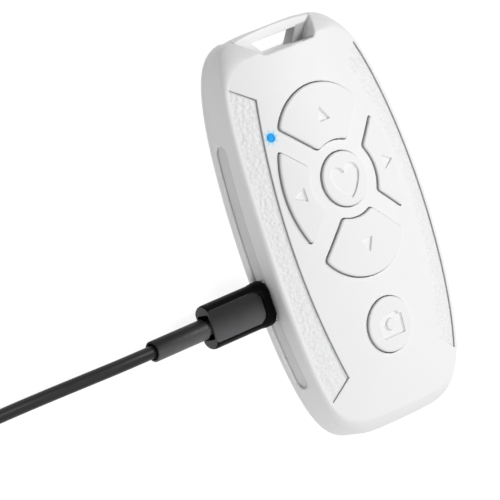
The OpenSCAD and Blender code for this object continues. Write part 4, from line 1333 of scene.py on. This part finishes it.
def add_sleeves():
    length = RELIEF_LENGTH - SLEEVE_GAP
    profile = sleeve_profile(length, RELIEF_R, RELIEF_R, root_round=0.5)
    profile += [(length, NECK_R), (RELIEF_LENGTH + POCKET_DEPTH + SEAT_DEPTH - 0.02, NECK_R)]
    sleeve = turned_piece("plug_sleeve", profile, (PLUG_BACK - RELIEF_LENGTH, PORT_Y, PORT_Z), (1, 0, 0))
    middle, size, low = box_of("far_relief")
    profile = sleeve_profile(size.y, FAR_SLEEVE_TIP, FAR_SLEEVE_ROOT)
    far = turned_piece("far_sleeve", profile, (middle.x, low.y, middle.z), (0, 1, 0))
    # The plug's sleeve takes the dull black with a painted sheen
    return lead_piece(sleeve, "plug_relief", 38, "plug_sleeve"), lead_piece(far, "far_relief", 38)


def add_far_body():
    middle, size, low = box_of("far_body")
    rings = []
    for place, shrink in FAR_FRONT + [(size.y - back, shrink) for back, shrink in FAR_BACK]:
        flat = rounded_rectangle(size.x - 2 * shrink, size.z - 2 * shrink, FAR_CORNER)
        rings.append(np.insert(flat + (middle.x, middle.z), 1, low.y + place, axis=1))
    return lead_piece(skin("far_body_moulded", rings), "far_body", 50)


def add_tie():
    """A flat band with rounded edges round the coil's turns."""
    middle, size, low = box_of("cord_tie")
    half, flat_half = size.x / 2, size.x / 2 - TIE_EDGE
    section = [(-flat_half, 0), (flat_half, 0), (half, TIE_EDGE), (half, TIE_WALL - TIE_EDGE),
               (flat_half, TIE_WALL), (-flat_half, TIE_WALL), (-half, TIE_WALL - TIE_EDGE), (-half, TIE_EDGE)]
    loops = []
    for place, depth in section:
        flat = rounded_rectangle(size.y - 2 * depth, size.z - 2 * depth, CORD_D / 2 - depth)
        loops.append(upright(flat + (middle.y, middle.z), middle.x + place))
    grid = np.arange(len(loops) * len(loops[0])).reshape(len(loops), -1)
    after, above = np.roll(grid, -1, axis=1), np.roll(grid, -1, axis=0)
    faces = quads(grid, after, np.roll(above, -1, axis=1), above)
    return lead_piece(mesh_object("coil_tie", np.concatenate(loops), faces), "cord_tie", 30)


plug = add_plug()
sleeve, far_sleeve = add_sleeves()
far_body = add_far_body()
tie = add_tie()


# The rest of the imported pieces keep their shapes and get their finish

def dress_cad_nodes():
    slots = {part["node"]: part["material_slot"] for part in frame["record"]["subparts"]}
    for name, node in frame["nodes"].items():
        if node.hide_render:
            continue
        node.data.materials.clear()
        node.data.materials.append(MATERIALS[slots[name]])


dress_cad_nodes()


# Stage: a pale floor that keeps a faint shadow, a white surround, and two soft lamps
WORLD_LEVEL = 0.24
FLOOR_MATTE = 0.2
FLOOR_SEEN = 0.9
FLOOR_GLOW = 0.66
FLOOR_HALF = 3000
FLOOR_Z = -0.02
LAMP_DISTANCE = 0.9
KEY_LAMP = {"aim": (0.62, 0.24, 0.74), "size": 0.3, "power": 3.7}
TOP_LAMP = {"aim": (-0.22, -0.42, 0.88), "size": 0.7, "power": 4.25}


def seen_or_lighting(tree, seen, lighting):
    """One level for camera, glossy and transmission rays, and another for the light that is given."""
    rays = add_node(tree, "LightPath", {}).outputs
    direct = math_node(tree, "MAXIMUM", rays["Is Camera Ray"], rays["Is Glossy Ray"])
    share = math_node(tree, "MAXIMUM", direct, rays["Is Transmission Ray"])
    return map_range(tree, share, 0, 1, lighting, seen)


def white_world():
    world = bpy.data.worlds.new("surround")
    scene.world = world
    world.use_nodes = True
    tree = world.node_tree
    level = seen_or_lighting(tree, 1.0, WORLD_LEVEL)
    feed(tree, tree.nodes["Background"], {"Strength": level, "Color": (1, 1, 1, 1)})


def white_floor():
    corners = [(x * FLOOR_HALF, y * FLOOR_HALF, FLOOR_Z) for x, y in ((-1, -1), (1, -1), (1, 1), (-1, 1))]
    floor = mesh_object("floor", corners, [(0, 1, 2, 3)])
    material = bpy.data.materials.new("floor")
    material.use_nodes = True
    tree = material.node_tree
    tree.nodes.remove(tree.nodes["Principled BSDF"])
    matte = add_node(tree, "BsdfDiffuse", {"Color": (FLOOR_MATTE, FLOOR_MATTE, FLOOR_MATTE, 1)})
    glow = add_node(tree, "Emission", {"Strength": seen_or_lighting(tree, FLOOR_SEEN, FLOOR_GLOW)})
    both = add_node(tree, "AddShader", {0: matte.outputs[0], 1: glow.outputs[0]})
    feed(tree, tree.nodes["Material Output"], {"Surface": both.outputs[0]})
    floor.data.materials.append(material)


def add_lamp(name, aim, size, power):
    data = bpy.data.lights.new(name, "AREA")
    data.shape = "DISK"
    data.size = size
    data.energy = power
    lamp = bpy.data.objects.new(name, data)
    way = Vector(aim).normalized()
    lamp.location = way * LAMP_DISTANCE
    lamp.rotation_mode = "QUATERNION"
    lamp.rotation_quaternion = way.to_track_quat("Z", "Y")
    scene.collection.objects.link(lamp)


white_world()
white_floor()
add_lamp("key_lamp", **KEY_LAMP)
add_lamp("top_lamp", **TOP_LAMP)
